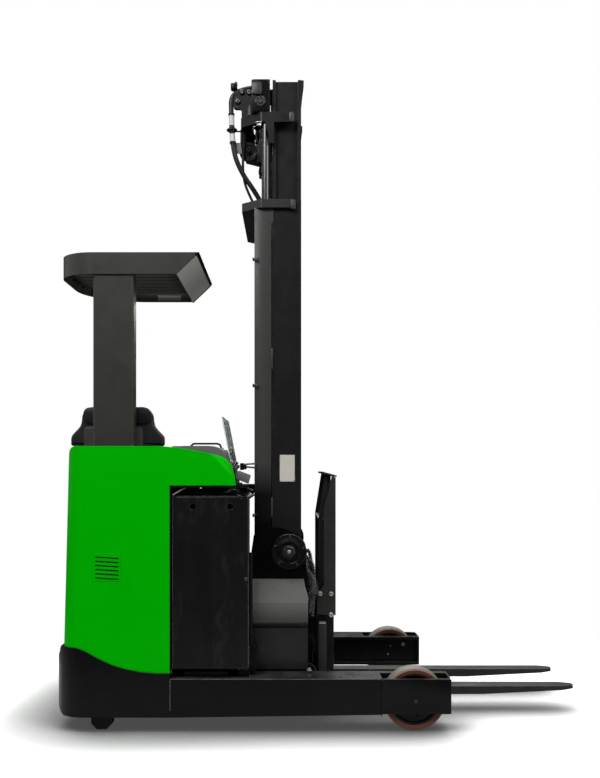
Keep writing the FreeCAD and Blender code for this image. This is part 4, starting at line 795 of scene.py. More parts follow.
def chain_anchor(x, y, z):
    """Threaded anchor with its nuts and clevis, hanging from the plate above."""
    rod = stood(disc(0.0075, 0.062), (x, y, z), (0, 0, -1))
    upper = stood(hex_bolt(0.022, 0.012), (x, y, z), (0, 0, -1))
    lower = stood(prism(6, 0.022, 0.011), (x, y, z - 0.024), (0, 0, -1))
    spring = joined([stood(washer(0.0105, 0.0135, 0.002, 20, -0.002), (x, y, z - 0.040 - 0.0058 * i), (0.1, 0, 1))
                     for i in range(4)])
    clevis = block((x - 0.010, y - 0.010, z - 0.082), (x + 0.010, y + 0.010, z - 0.058), 0.003)
    return joined([rod, upper, lower, spring, clevis])


piece("chain_anchors", "mast_middle", "steel", "deep_black", *both(chain_anchor(-0.326, -0.275, YOKE)))
piece("mast_chains", "mast_middle", "steel", "chain",
      *both(leaf_chain(-0.266, -0.275, OUTER_TOP + 0.027, YOKE - 0.002, 0.0195, 0.012)))

CHAIN_Y = -0.080
CHAIN_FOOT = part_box("lift_carriage")[1].z - 0.04
REAR_CHAIN_FOOT = 0.215
SHEAVE_Z = 1.552
CHAIN_SIZE = (0.0254, 0.016)
front_chain = piece("lift_chains_front", "lift_carriage", "steel", "chain",
                    *both(leaf_chain(-0.183, CHAIN_Y, CHAIN_FOOT, SHEAVE_Z, *CHAIN_SIZE)))
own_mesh(front_chain)
rear_chain = piece("lift_chains_rear", None, "steel", "chain",
                   *both(leaf_chain(-0.288, CHAIN_Y, REAR_CHAIN_FOOT, SHEAVE_Z, *CHAIN_SIZE)))
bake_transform(rear_chain)


# ---------------------------------------------------------------- mast sides
RAIL_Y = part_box("outer_crossmembers")[0].y + 0.022
STOP_HEIGHTS = (2.219, 1.608, 0.980)
stops = [stood(joined([disc(0.0055, 0.020), moved(prism(6, 0.015, 0.008), (0, 0, 0.018))]),
               (-0.320, RAIL_Y - 0.006, z), (-1, 0, 0)) for z in STOP_HEIGHTS]
lugs = [block((-0.331, RAIL_Y - 0.014, z - 0.009), (-0.318, RAIL_Y + 0.001, z + 0.009), 0.0015)
        for z in STOP_HEIGHTS]
# The lugs take the flange's painted light and painted shadow.
piece("rail_stop_lugs", "mast_outer", "mast_paint", "mast_light", *both(*lugs))
piece("rail_stop_bolts", "mast_outer", "steel", "zinc_dark", *both(*stops))
plate_edge = block((-0.214, RAIL_Y - 0.0016, 1.143), (-0.1415, RAIL_Y + 0.001, 1.2725), 0.0006, 1)
piece("mast_data_plates", "mast_outer", "steel", "label", *both(plate_edge))
rivets = [stood(turned([(0, 0), (0.0025, 0), (0.0018, 0.0012), (0, 0.0016)], 10), (x, RAIL_Y - 0.0016, z), FRONT)
          for x in (-0.210, -0.1455) for z in (1.148, 1.2675)]
piece("data_plate_rivets", "mast_outer", "steel", "zinc", *both(*rivets))

coupling = [block((-0.406, -0.398, 1.199), (-0.386, -0.372, 1.233), 0.004, 3),
            stood(prism(6, 0.024, 0.012, 0.002), (-0.386, -0.385, 1.216), (1, 0, 0)),
            stood(disc(0.008, 0.010), (-0.4085, -0.385, 1.216), (-1, 0, 0))]
piece("hydraulic_coupling", "mast_outer", "black_paint", "black", *coupling)
piece("hydraulic_pipes", "mast_outer", "steel", "zinc_dark",
      pipe([(-0.388, -0.385, 1.226), (-0.360, -0.385, 1.229), (-0.330, -0.385, 1.230)], 0.0045),
      pipe([(-0.376, -0.385, 1.214), (-0.360, -0.385, 1.213), (-0.330, -0.385, 1.210)], 0.0045))
flap = side_plate([(-0.420, 1.157), (-0.417, 1.176), (-0.4065, 1.1975), (-0.3485, 1.1755), (-0.3595, 1.134)],
                  -0.512, -0.490, 0.002, 0.004)
flap_arm = block((-0.446, -0.506, 1.150), (-0.405, -0.496, 1.170), 0.002)
piece("mast_lamp", "chassis", "grey_plastic", "console", flap)
piece("mast_lamp_arm", "chassis", "black_paint", "black", flap_arm)


# ---------------------------------------------------------------- reach carriage
hub_lo, hub_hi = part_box("pivot_hubs")
HUB = Vector(((hub_lo.x + hub_hi.x) / 2, hub_lo.y, (hub_lo.z + hub_hi.z) / 2))
HUB_SCREW_ANGLES = [math.radians(a) for a in (86, 158, 230, 302, 14)]


def on_hub(shape, out=0.0, turn=0.0):
    """Stands a shape on the right pivot hub's face, that far out from it."""
    return stood(shape, HUB + Vector((0, -out, 0)), FRONT, turn)


screws = row(lambda: socket_screw(0.0062, 0.006), circle(HUB, 0.070, HUB_SCREW_ANGLES, -0.002), FRONT)
piece("pivot_screws", "reach_carriage", "steel", "zinc_dark", *both(*screws))
cap = on_hub(turned([(0, 0), (0.0535, 0), (0.0535, 0.003), (0.050, 0.006), (0.036, 0.006), (0.034, 0.0035),
                     (0, 0.0035)], 48))
piece("pivot_caps", "reach_carriage", "black_paint", "black", *both(cap))
flange = on_hub(turned([(0.0560, 0), (0.0815, 0), (0.0825, 0.0015), (0.0805, 0.0035), (0.0585, 0.0035),
                        (0.0560, 0.002)], 56, ring=True), -0.0012)
piece("pivot_flanges", "reach_carriage", "black_paint", "gloss_black", *both(flange))
piece("pivot_nuts", "reach_carriage", "steel", "zinc_dark",
      *both(on_hub(prism(6, 0.049, 0.013, 0.003), 0.0035, 0.2), on_hub(disc(0.031, 0.003, 32), 0.003)))
pivot_stud = on_hub(turned([(0, 0), (0.0085, 0), (0.0085, 0.005), (0.006, 0.007), (0, 0.007)], 20), 0.0165)
piece("pivot_studs", "reach_carriage", "steel", "zinc", *both(pivot_stud))


def wound_hose(points, radius, pitch):
    """Hose in a coiled guard: a core with a ring at each turn of the guard."""
    mesh = meshed(line_through(points))
    centre = [v.co.copy() for v in mesh.vertices]
    bpy.data.meshes.remove(mesh)
    shapes = [pipe(points, radius * 0.66)]
    run = 0.0
    for a, b in zip(centre, centre[1:]):
        run += (b - a).length
        if run >= pitch:
            run = 0.0
            ring = turned([(radius * 0.6, -pitch * 0.3), (radius, -pitch * 0.12), (radius, pitch * 0.12),
                           (radius * 0.6, pitch * 0.3)], 14, ring=True)
            shapes.append(stood(ring, b, b - a))
    return joined(shapes)


piece("carriage_hose_guards", "reach_carriage", "hose_rubber", "guard_coil",
      *both(wound_hose([(-0.086, -0.436, 0.722), (-0.070, -0.436, 0.706), (-0.052, -0.434, 0.680),
                        (-0.052, -0.430, 0.640), (-0.066, -0.420, 0.600), (-0.070, -0.410, 0.520)], 0.0135, 0.0095),
            wound_hose([(-0.094, -0.412, 0.770), (-0.086, -0.412, 0.700), (-0.070, -0.410, 0.650),
                        (-0.050, -0.408, 0.600), (-0.058, -0.400, 0.500)], 0.012, 0.009)))
unions = row(lambda: nut_and_stud(0.019, 0.014, 0.002, 0.009, 0.012, 0.014),
             ((-0.090, -0.436, 0.732), (-0.094, -0.412, 0.786), (-0.058, -0.430, 0.612)), (0.1, 0, -1))
piece("carriage_unions", "reach_carriage", "steel", "zinc_dark", *both(*unions))
toe = stood(hex_bolt(0.015, 0.010), (-0.073, -0.488, 0.252), (0, 0, 1))
piece("carriage_foot_bolts", "reach_carriage", "steel", "zinc", *both(toe))
piece("carriage_wires", "reach_carriage", "hose_rubber", "rubber",
      *both(pipe([(-0.078, -0.470, 0.420), (-0.050, -0.470, 0.400), (-0.046, -0.468, 0.350), (-0.064, -0.468, 0.320),
                  (-0.052, -0.470, 0.300), (-0.070, -0.470, 0.262)], 0.0018)))


# ---------------------------------------------------------------- lift carriage, forks and backrest
BACKREST_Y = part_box("load_backrest")[0].y
studs = row(lambda: turned([(0, 0), (0.0115, 0), (0.0115, 0.004), (0.009, 0.007), (0.0045, 0.0075), (0.0045, 0.005),
                            (0, 0.005)], 24),
            [(x, BACKREST_Y, z) for x, z in ((-0.0185, 0.599), (0.0345, 0.598), (0.0345, 0.497))], FRONT)
piece("backrest_bolts", "side_shift", "steel", "zinc", *both(*studs))
pins = row(lambda: turned([(0, 0), (0.004, 0), (0.003, 0.002), (0, 0.003)], 12),
           [(0.040, BACKREST_Y, z) for z in (0.985, 0.716)], FRONT)
piece("backrest_pins", "side_shift", "black_paint", "black", *both(*pins))
slide_bar = block((-0.026, -0.3625, 0.120), (0.0125, -0.3570, 0.452), 0.002)
bar_cap = block((-0.024, -0.3640, 0.452), (0.0105, -0.3570, 0.463), 0.002)
frame_plate = side_plate([(-0.0255, 0.600), (-0.0255, 0.965), (0.0090, 1.184), (0.0300, 1.184), (0.0300, 0.600)],
                         -0.332, -0.322, 0.0015)
piece("backrest_inner_plates", "side_shift", "mast_paint", "mast", *both(frame_plate))
piece("backrest_shelf", "side_shift", "mast_paint", "shelf_grey",
      block((-0.0255, -0.3215, 0.946), (-0.0010, 0.3215, 0.962), 0.002))
piece("side_shift_bars", "side_shift", "black_paint", "slide_grey", *both(slide_bar))
piece("side_shift_caps", "side_shift", "steel", "zinc", *both(bar_cap))

keeper = side_plate([(-0.068, 0.130), (-0.036, 0.130), (-0.036, 0.590), (-0.052, 0.640), (-0.068, 0.640)],
                    -0.296, -0.284, 0.002)
COIL_PLACES = (-0.304, -0.276)
coils = [wound_hose([(-0.048, y, 0.520), (-0.046, y, 0.640), (-0.050, y, 0.720), (-0.066, y, 0.765),
                     (-0.086, y, 0.735), (-0.090, y, 0.660), (-0.092, y, 0.560)], 0.0115, 0.0092)
         for y in COIL_PLACES]
piece("carriage_coils", "lift_carriage", "hose_rubber", "guard_coil", *both(*coils))
valve = block((-0.096, -0.322, 0.470), (-0.036, -0.262, 0.566), 0.006, 3)
ports = row(lambda: nut_and_stud(0.021, 0.013, 0.002, 0.008, 0.010, 0.012),
            [(x, y, 0.566) for x in (-0.048, -0.090) for y in COIL_PLACES])
side_ports = row(lambda: prism(6, 0.019, 0.010, 0.002), [(-0.066, -0.322, z) for z in (0.500, 0.535)], FRONT)
piece("carriage_valves", "lift_carriage", "iron", "deep_black", *both(valve))
piece("carriage_ports", "lift_carriage", "steel", "zinc_dark", *both(*ports, *side_ports))
piece("carriage_side_plates", "lift_carriage", "mast_paint", "mast", *both(keeper))
side_rollers = row(lambda: turned([(0, 0), (0.034, 0), (0.036, 0.003), (0.036, 0.016), (0.033, 0.019),
                                   (0.016, 0.019), (0.014, 0.015), (0, 0.015)], 32),
                   [(-0.075, -0.296, z) for z in (0.215, 0.505)], FRONT)
piece("carriage_side_rollers", "lift_carriage", "steel", "zinc_dark", *both(*side_rollers))
fork_lo, fork_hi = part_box("forks")
fork_pin = stood(nut_and_stud(0.020, 0.012, 0.002, 0.0075, 0.02, 0.010), (0.034, -0.203, fork_hi.z))
piece("fork_pins", "side_shift", "steel", "zinc", *both(fork_pin))


# ---------------------------------------------------------------- straddle legs and wheels
leg_lo, leg_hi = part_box("straddle_legs")
strip = block((-0.3555, -0.560, 0.384), (-0.3390, -0.540, 0.815), 0.002)
piece("battery_edge_strips", "chassis", "floor_rubber", "rubber", *both(strip))
AXLE = Vector((0.410, leg_lo.y, 0.1425))
bay = side_plate([(0.2555, 0.0840), (leg_hi.x - 0.001, 0.0840), (leg_hi.x - 0.001, 0.2425), (0.2555, 0.2425)],
                 leg_lo.y - 0.004, leg_lo.y + 0.001, 0.0015, 0.003)
seam = pipe([(0.2545, leg_lo.y - 0.001, 0.072), (0.2545, leg_lo.y - 0.001, 0.240)], 0.0018, smooth=False)
piece("wheel_bay_plates", "chassis", "black_paint", "black", *both(bay))
piece("leg_seams", "chassis", "black_paint", "deep_black", *both(seam))
axle_end = [stood(disc(0.0085, 0.002, 24), AXLE - Vector((0, 0.004, 0)), FRONT),
            stood(socket_screw(0.0065, 0.005), AXLE - Vector((0, 0.006, 0)), FRONT)]
piece("axle_screws", "chassis", "steel", "bare_grey", *both(*axle_end))
# Painted highlights: thin light strips along the leg's rear edge and top edge.
edge_lines = [highlight_strip(leg_lo.x - 0.0010, leg_lo.x + 0.0022, 0.098, 0.243, leg_lo.y),
              highlight_strip(leg_lo.x, 0.2530, leg_hi.z - 0.0030, leg_hi.z + 0.0004, leg_lo.y)]
piece("leg_edge_highlights", "chassis", "black_paint", "edge_light", *both(*edge_lines))
INNER_FACE = -0.4975
flush = [stood(turned([(0, 0), (r, 0), (r * 0.9, 0.001), (r * 0.45, 0.001), (r * 0.45, 0.0002), (0, 0.0002)], 24),
               (x, INNER_FACE, z), (0, 1, 0))
         for x, z, r in ((0.400, 0.138, 0.005), (0.414, 0.186, 0.004), (0.486, 0.197, 0.010))]
piece("rail_screws", "chassis", "steel", "zinc", *both(*flush))

for side, name in ((-1, "right"), (1, "left")):
    low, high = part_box("load_hub_" + name)
    outer, inner = (low.y, high.y) if side < 0 else (high.y, low.y)
    bolts = row(lambda: hex_bolt(0.013, 0.007),
                circle((AXLE.x, outer, AXLE.z), 0.083, turns(8, 0.2), -side * 0.018), (0, side, 0))
    hub_caps = [stood(turned([(0, 0), (0.044, 0), (0.044, 0.002), (0.040, 0.004), (0.030, 0.004), (0.028, 0.001),
                              (0, 0.001)], 36), (AXLE.x, where - way * 0.002, AXLE.z), (0, way, 0))
                for where, way in ((outer, side), (inner, -side))]
    piece("hub_bolts_" + name, "load_wheel_" + name, "steel", "iron", *bolts)
    piece("hub_caps_" + name, "load_wheel_" + name, "iron", "iron", *hub_caps)


# ---------------------------------------------------------------- seat
def node_shape(node, whole_faces=True):
    """A merged copy of a frame node; unless told not to, its triangles are joined into flat faces."""
    bm = bmesh.new()
    bm.from_mesh(NODES[node].data)
    bmesh.ops.remove_doubles(bm, verts=bm.verts, dist=1e-5)
    if whole_faces:
        bmesh.ops.dissolve_limit(bm, angle_limit=math.radians(2), verts=bm.verts, edges=bm.edges)
    return bm


def cut_off(shape, place, direction):
    """Takes away what lies beyond the plane and closes the cut."""
    geom = shape.verts[:] + shape.edges[:] + shape.faces[:]
    bmesh.ops.bisect_plane(shape, geom=geom, plane_co=place, plane_no=direction, clear_outer=True)
    bmesh.ops.holes_fill(shape, edges=[e for e in shape.edges if e.is_boundary])
    return shape


def shrunk(shape, by):
    """The shape drawn in by that much on each side, about its own middle."""
    low = Vector([min(v.co[i] for v in shape.verts) for i in range(3)])
    high = Vector([max(v.co[i] for v in shape.verts) for i in range(3)])
    middle = (low + high) / 2
    size = high - low
    factor = Vector([(s - 2 * by) / s for s in size])
    bmesh.ops.scale(shape, vec=factor, verts=shape.verts, space=Matrix.Translation(-middle))
    return shape


def evaluated(made):
    """Mesh of an object with its modifiers on."""
    bpy.context.view_layer.update()
    return bpy.data.meshes.new_from_object(made.evaluated_get(bpy.context.evaluated_depsgraph_get()))


PAD_VOXEL = 0.006
CLOTH_FRAMES = 20


def stuffed(name, shape, cap, rests, groove):
    """Upholstered pad: remeshed, blown up a little as cloth, held within the cap, then sewn along its grooves."""
    mesh = bpy.data.meshes.new(name)
    bmesh.ops.triangulate(shape, faces=shape.faces)
    shape.to_mesh(mesh)
    shape.free()
    pad = bpy.data.objects.new(name, mesh)
    bpy.context.scene.collection.objects.link(pad)
    remesh = pad.modifiers.new("remesh", "REMESH")
    remesh.mode = "VOXEL"
    remesh.voxel_size = PAD_VOXEL
    pad.data = evaluated(pad)
    pad.modifiers.clear()
    pad.data.name = name
    start = [v.co.copy() for v in pad.data.vertices]
    group = pad.vertex_groups.new(name="rest")
    group.add([i for i, place in enumerate(start) if rests(place)], 1.0, "REPLACE")
    cloth = pad.modifiers.new("cloth", "CLOTH")
    cloth.settings.use_pressure = True
    cloth.settings.uniform_pressure_force = 4
    cloth.settings.effector_weights.gravity = 0
    cloth.settings.vertex_group_mass = "rest"
    cloth.point_cache.frame_start = 1
    cloth.point_cache.frame_end = CLOTH_FRAMES
    for frame_number in range(1, CLOTH_FRAMES + 1):
        bpy.context.scene.frame_set(frame_number)
    blown = [v.co.copy() for v in evaluated(pad).vertices]
    pad.modifiers.clear()
    bpy.context.scene.frame_set(1)
    for vert, was, now in zip(pad.data.vertices, start, blown):
        shift = now - was
        vert.co = was + shift * min(1.0, cap / max(shift.length, 1e-9))
    for vert in pad.data.vertices:
        vert.co += groove(vert.co)
    pad.data.polygons.foreach_set("use_smooth", [True] * len(pad.data.polygons))
    finer = pad.modifiers.new("finer", "SUBSURF")
    finer.levels = 1
    finer.render_levels = 1
    pad.data.materials.clear()
    pad.data.materials.append(M["vinyl"])
    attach(pad, "chassis")
    return pad


back_lo, back_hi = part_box("seat_back")
pad_lo, pad_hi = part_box("seat_cushion")
SEAT_X = (back_lo.x + back_hi.x) / 2
SHELL_Y = back_lo.y + 0.034
HEADREST_Z = 1.4175
SIDE_SEAMS = (-0.115, 0.115)
MIDDLE_HALF = 0.118


def dip(distance, depth, width=0.008):
    """Depth of a sewn groove at that distance from its seam."""
    return depth * math.exp(-(distance / width) ** 2)


def cushion_groove(p):
    """How far the cushion's top is drawn in along its seams."""
    if p.z < pad_hi.z - 0.05:
        return Vector((0, 0, 0))
    down = sum(dip(p.x - SEAT_X - seam, 0.007) for seam in SIDE_SEAMS)
    if abs(p.x - SEAT_X) < MIDDLE_HALF:
        down += sum(dip(p.y - pad_lo.y - seam, 0.006) for seam in (0.30, 0.15))
    return Vector((0, 0, -down))


def back_groove(p):
    """How far the backrest's front is drawn in along its seams."""
    if p.y < SHELL_Y + 0.02:
        return Vector((0, 0, 0))
    inward = dip(p.z - HEADREST_Z, 0.010, 0.010)
    if p.z < HEADREST_Z:
        inward += sum(dip(p.x - SEAT_X - seam, 0.007) for seam in SIDE_SEAMS)
    if abs(p.x - SEAT_X) < MIDDLE_HALF:
        inward += sum(dip(p.z - seam, 0.005) for seam in (1.28, 1.14))
    return Vector((0, -inward, 0))


REAR_BEND = -1.10
cover = node_shape("body_cover", whole_faces=False)
for vert in cover.verts:
    if vert.co.x < REAR_BEND:
        vert.co.x -= 0.020 * (vert.co.z - 0.05)
bmesh.ops.recalc_face_normals(cover, faces=cover.faces)
rear_face = BVHTree.FromBMesh(cover)


def rear_at(y, z):
    """X of the cover's rear face there."""
    return rear_face.ray_cast(Vector((-2, y, z)), Vector((1, 0, 0)))[0].x


FLAT_AREA = 0.004
cover_shell = piece("cover_shell", "chassis", "green_paint", "green", cover, sharp=30)
for polygon in cover_shell.data.polygons:
    polygon.use_smooth = polygon.area < FLAT_AREA
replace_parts(cover_shell, "body_cover")
skirt = cut_off(node_shape("rear_skirt"), (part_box("rear_skirt")[0].x, 0, 0.318), (-0.93, 0, 0.37))
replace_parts(piece("skirt_shell", "chassis", "black_paint", "skirt", skirt), "rear_skirt")

cushion = stuffed("seat_pad", shrunk(node_shape("seat_cushion"), 0.005), 0.010,
                  lambda p: p.z < pad_lo.z + 0.012, cushion_groove)
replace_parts(cushion, "seat_cushion")
front_half = shrunk(cut_off(node_shape("seat_back"), (0, SHELL_Y, 0), (0, -1, 0)), 0.004)
back_pad = stuffed("seat_back_pad", front_half, 0.009, lambda p: p.y < SHELL_Y + 0.012, back_groove)
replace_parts(back_pad, "seat_back")

shell = cut_off(node_shape("seat_back"), (0, SHELL_Y + 0.004, 0), (0, 1, 0))
shell_rim = [e for e in shell.edges if all(v.co.y < back_lo.y + 1e-4 for v in e.verts)]
bmesh.ops.bevel(shell, geom=shell_rim, offset=0.014, affect="EDGES", segments=4, profile=0.5, material=-1)
piece("seat_shell", "chassis", "dark_plastic", "seat_shell", shell)
band = side_plate([(SEAT_X - 0.163, HEADREST_Z), (SEAT_X + 0.163, HEADREST_Z), (SEAT_X + 0.160, back_hi.z - 0.003),
                   (SEAT_X - 0.160, back_hi.z - 0.003)], back_lo.y - 0.006, back_lo.y + 0.02, 0.004, 0.030)
piece("seat_headrest_band", "chassis", "seat_vinyl", "seat_shell", band)
panel = side_plate([(SEAT_X - 0.160, 1.05), (SEAT_X + 0.125, 1.05), (SEAT_X + 0.122, HEADREST_Z - 0.012),
                    (SEAT_X - 0.158, HEADREST_Z - 0.012)], back_lo.y - 0.002, back_lo.y + 0.01, 0.003, 0.014)
piece("seat_back_panel", "chassis", "dark_plastic", "vinyl_light", panel)
slides = [block((SEAT_X + aside - 0.014, pad_lo.y + 0.02, pad_lo.z - 0.004),
                (SEAT_X + aside + 0.014, pad_hi.y - 0.06, pad_lo.z + 0.006), 0.002) for aside in (-0.12, 0.12)]
piece("seat_slides", "chassis", "steel", "zinc_dark", *slides)
LEVER_Z = pad_lo.z - 0.012
lever = pipe([(SEAT_X + 0.15, pad_hi.y - 0.10, LEVER_Z), (SEAT_X + 0.15, pad_hi.y - 0.01, LEVER_Z),
              (SEAT_X + 0.05, pad_hi.y + 0.006, LEVER_Z + 0.002)], 0.006)
piece("seat_lever", "chassis", "black_paint", "black", lever)


# ---------------------------------------------------------------- steering and pedals
wheel_lo, wheel_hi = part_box("steering_wheel")
WHEEL = Vector(((wheel_lo.x + wheel_hi.x) / 2, (wheel_lo.y + wheel_hi.y) / 2, wheel_hi.z))
knob = turned([(0, 0), (0.008, 0), (0.008, 0.012), (0.020, 0.020), (0.023, 0.034), (0.018, 0.046), (0.008, 0.051),
               (0, 0.052)], 28)
piece("steering_knob", "chassis", "dark_plastic", "dark_plastic",
      stood(knob, WHEEL + Vector((-0.058, 0.058, -0.001))))
crown = turned([(0, 0), (0.024, 0), (0.024, 0.004), (0.019, 0.010), (0, 0.012)], 36)
piece("steering_cap", "chassis", "grey_plastic", "console", stood(crown, WHEEL + Vector((0, 0, -0.018))))
column_lo, column_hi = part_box("steering_console")
boot = turned([(0.020, 0), (0.046, 0), (0.044, 0.006), (0.038, 0.008), (0.040, 0.014), (0.034, 0.016),
               (0.036, 0.022), (0.024, 0.026), (0.020, 0.026)], 36, ring=True)
piece("steering_boot", "chassis", "floor_rubber", "rubber", stood(boot, (WHEEL.x, WHEEL.y, column_hi.z - 0.001)))
column_seams = [pipe([(column_lo.x + 0.004, y, column_hi.z - 0.05), (column_hi.x - 0.004, y, column_hi.z - 0.05)],
                     0.002, smooth=False) for y in (column_lo.y - 0.0005, column_hi.y + 0.0005)]
piece("column_seams", "chassis", "dark_plastic", "deep_black", *column_seams)

PEDAL_TILT = math.radians(28)
PEDAL_FOOT_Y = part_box("pedals")[0].y + 0.0065
slope = Vector((0, math.cos(PEDAL_TILT), math.sin(PEDAL_TILT)))
rise = Vector((0, -math.sin(PEDAL_TILT), math.cos(PEDAL_TILT)))
ribs = []
for middle in (-1.016, -0.900, -0.800):
    for k in range(6):
        rib = block((-0.030, -0.004, 0), (0.030, 0.004, 0.004), 0.0015)
        bmesh.ops.rotate(rib, cent=(0, 0, 0), matrix=Matrix.Rotation(PEDAL_TILT, 3, "X"), verts=rib.verts)
        ribs.append(moved(rib, Vector((middle, PEDAL_FOOT_Y, 0.412)) + slope * (0.012 + 0.0185 * k) + rise * 0.0135))
piece("pedal_ribs", "chassis", "floor_rubber", "rubber", *ribs)

floor_lo, floor_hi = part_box("floor_plate")
mat_ribs = [block((floor_lo.x + 0.03, y - 0.004, floor_hi.z - 0.001),
                  (floor_hi.x - 0.03, y + 0.004, floor_hi.z + 0.003), 0.0015, 1)
            for y in [floor_lo.y + 0.05 + 0.022 * k for k in range(18)]]
piece("floor_mat_ribs", "chassis", "floor_rubber", "rubber", *mat_ribs)
kick = block((floor_lo.x + 0.01, floor_hi.y - 0.004, floor_hi.z - 0.030),
             (floor_hi.x - 0.01, floor_hi.y + 0.003, floor_hi.z + 0.002), 0.002)
piece("step_edge", "chassis", "steel", "zinc_dark", kick)


# ---------------------------------------------------------------- console
con_lo, con_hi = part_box("console")
PANEL_X = con_lo.x


def on_panel(shape, y, z):
    """Puts a control on the console's face towards the operator."""
    return stood(shape, (PANEL_X, y, z), (-1, 0, 0))


bezel = block((PANEL_X - 0.010, -0.16, 1.165), (PANEL_X + 0.001, 0.02, 1.292), 0.005, 3)
piece("display_bezel", "chassis", "dark_plastic", "dark_plastic", bezel)
glass = block((PANEL_X - 0.0115, -0.150, 1.190), (PANEL_X - 0.009, 0.010, 1.284), 0.0012)
piece("display_glass", "chassis", "acrylic", "dark_glass", glass)
keys = [on_panel(moved(prism(24, 0.014, 0.004, 0.001), (0, 0, 0.0095)), y, 1.1775)
        for y in (-0.145, -0.120, -0.095, -0.070, -0.045, -0.020, 0.005)]
piece("display_keys", "chassis", "grey_plastic", "console", *keys)
LEVER_PLACES = (-0.345, -0.300, -0.255, -0.210)
BUTTON_PLACE = (0.085, 1.235)
plinth = block((PANEL_X - 0.012, -0.375, 1.190), (PANEL_X + 0.001, -0.180, 1.262), 0.005, 3)
piece("lever_plinth", "chassis", "dark_plastic", "dark_plastic", plinth)
levers = []
for y in LEVER_PLACES:
    levers.append(on_panel(turned([(0, 0.010), (0.012, 0.010), (0.011, 0.014), (0.0085, 0.018), (0.0095, 0.021),
                                   (0.005, 0.026), (0, 0.026)], 20), y, 1.226))
    levers.append(on_panel(turned([(0, 0.02), (0.0035, 0.02), (0.0035, 0.048), (0.009, 0.052), (0.0105, 0.066),
                                   (0.007, 0.074), (0, 0.075)], 20), y, 1.226))
piece("hydraulic_levers", "chassis", "dark_plastic", "rubber", *levers)
stop_button = on_panel(turned([(0, 0), (0.009, 0), (0.009, 0.012), (0.019, 0.014), (0.020, 0.021), (0.015, 0.026),
                               (0, 0.027)], 32), *BUTTON_PLACE)
piece("stop_button", "chassis", "grey_plastic", "red", stop_button)
stop_ring = on_panel(washer(0.010, 0.026, 0.003, 32), *BUTTON_PLACE)
piece("stop_button_ring", "chassis", "grey_plastic", "yellow", stop_ring)
lock = on_panel(turned([(0, 0), (0.014, 0), (0.014, 0.004), (0.011, 0.009), (0.0095, 0.009), (0.0095, 0.006),
                        (0, 0.006)], 28), 0.150, 1.235)
key = block((PANEL_X - 0.032, 0.1485, 1.222), (PANEL_X - 0.006, 0.1515, 1.248), 0.001)
piece("key_switch", "chassis", "steel", "zinc", lock, key)
switches = [block((PANEL_X - 0.008, y - 0.011, 1.216), (PANEL_X + 0.001, y + 0.011, 1.252), 0.002)
            for y in (0.200, 0.232, 0.264)]
piece("rocker_switches", "chassis", "dark_plastic", "dark_plastic", *switches)
tray = side_plate([(con_lo.x + 0.05, con_hi.z - 0.001), (con_hi.x - 0.09, con_hi.z - 0.001),
                   (con_hi.x - 0.09, con_hi.z + 0.002), (con_lo.x + 0.05, con_hi.z + 0.002)], -0.58, -0.20, 0.001)
piece("console_mat", "chassis", "floor_rubber", "rubber", tray)
grab_lo, grab_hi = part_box("grab_handle")
feet = [stood(turned([(0.005, 0), (0.015, 0), (0.015, 0.002), (0.012, 0.004), (0.005, 0.004)], 24, ring=True),
              (x, (grab_lo.y + grab_hi.y) / 2, con_hi.z)) for x in (grab_lo.x + 0.005, grab_hi.x - 0.005)]
piece("grab_handle_feet", "chassis", "black_paint", "black", *feet)


# ---------------------------------------------------------------- mast flanges
RAIL_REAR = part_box("outer_mast_rails")[0].x
# A thin strip on the rail face, lighter above as the lit flange edge and darker below as painted shadow.
flange_face = side_plate([(RAIL_REAR, 0.690), (-0.2545, 0.690), (-0.2545, 2.395), (-0.2455, 2.402),
                          (-0.2455, OUTER_TOP - 0.036), (RAIL_REAR, OUTER_TOP - 0.036)],
                         RAIL_Y - 0.0012, RAIL_Y + 0.001, 0.0004)
piece("mast_flange_faces", "mast_outer", "mast_paint", "mast_light", *both(flange_face))
tags = [side_plate([(-0.2565, z - 0.048), (-0.2475, z - 0.048), (-0.2475, z + 0.048), (-0.2565, z + 0.048)],
                   RAIL_Y - 0.004, RAIL_Y + 0.001, 0.001) for z in (1.739, 1.017)]
piece("mast_weld_tabs", "mast_outer", "mast_paint", "weld", *both(*tags))


# ---------------------------------------------------------------- overhead guard
rim_lo, rim_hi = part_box("guard_rim")
# A light grey sheet on the guard's front face, as painted light.
face_plate = side_plate([(-0.6915, 2.1090), (-0.6895, 2.1070), (-0.5980, 2.1950), (-0.6000, 2.1970)],
                        rim_lo.y + 0.006, rim_hi.y - 0.006, 0.0004)
piece("guard_front_face", "chassis", "grey_paint", "guard_face", face_plate)
lips = [side_plate([(-0.6040, 2.1985), (-0.5935, 2.1985), (-0.5860, 2.2060), (-0.5860, 2.2110), (-0.6040, 2.2110)],
                   rim_lo.y - 0.002, rim_hi.y + 0.002, 0.001),
        side_plate([(-0.6930, 2.1080), (-0.6890, 2.1050), (-0.5930, 2.1960), (-0.5960, 2.2000)],
                   rim_hi.y - 0.006, rim_hi.y + 0.002, 0.0008)]
piece("guard_front_lips", "chassis", "grey_paint", "deep_black", *lips)
lamp_plate = block((-0.880, rim_hi.y - 0.012, 2.113), (-0.755, rim_hi.y - 0.0075, 2.144), 0.001)
piece("guard_lamp", "chassis", "grey_plastic", "light_grey", lamp_plate)
pillar_lo, pillar_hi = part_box("guard_pillar")
foot = block((pillar_lo.x - 0.012, pillar_lo.y - 0.002, 1.292),
             (pillar_hi.x + 0.012, pillar_hi.y + 0.012, 1.304), 0.003)
piece("pillar_collar", "chassis", "floor_rubber", "rubber", foot)


# ---------------------------------------------------------------- weather screen
SCREEN_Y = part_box("screen")[0].y
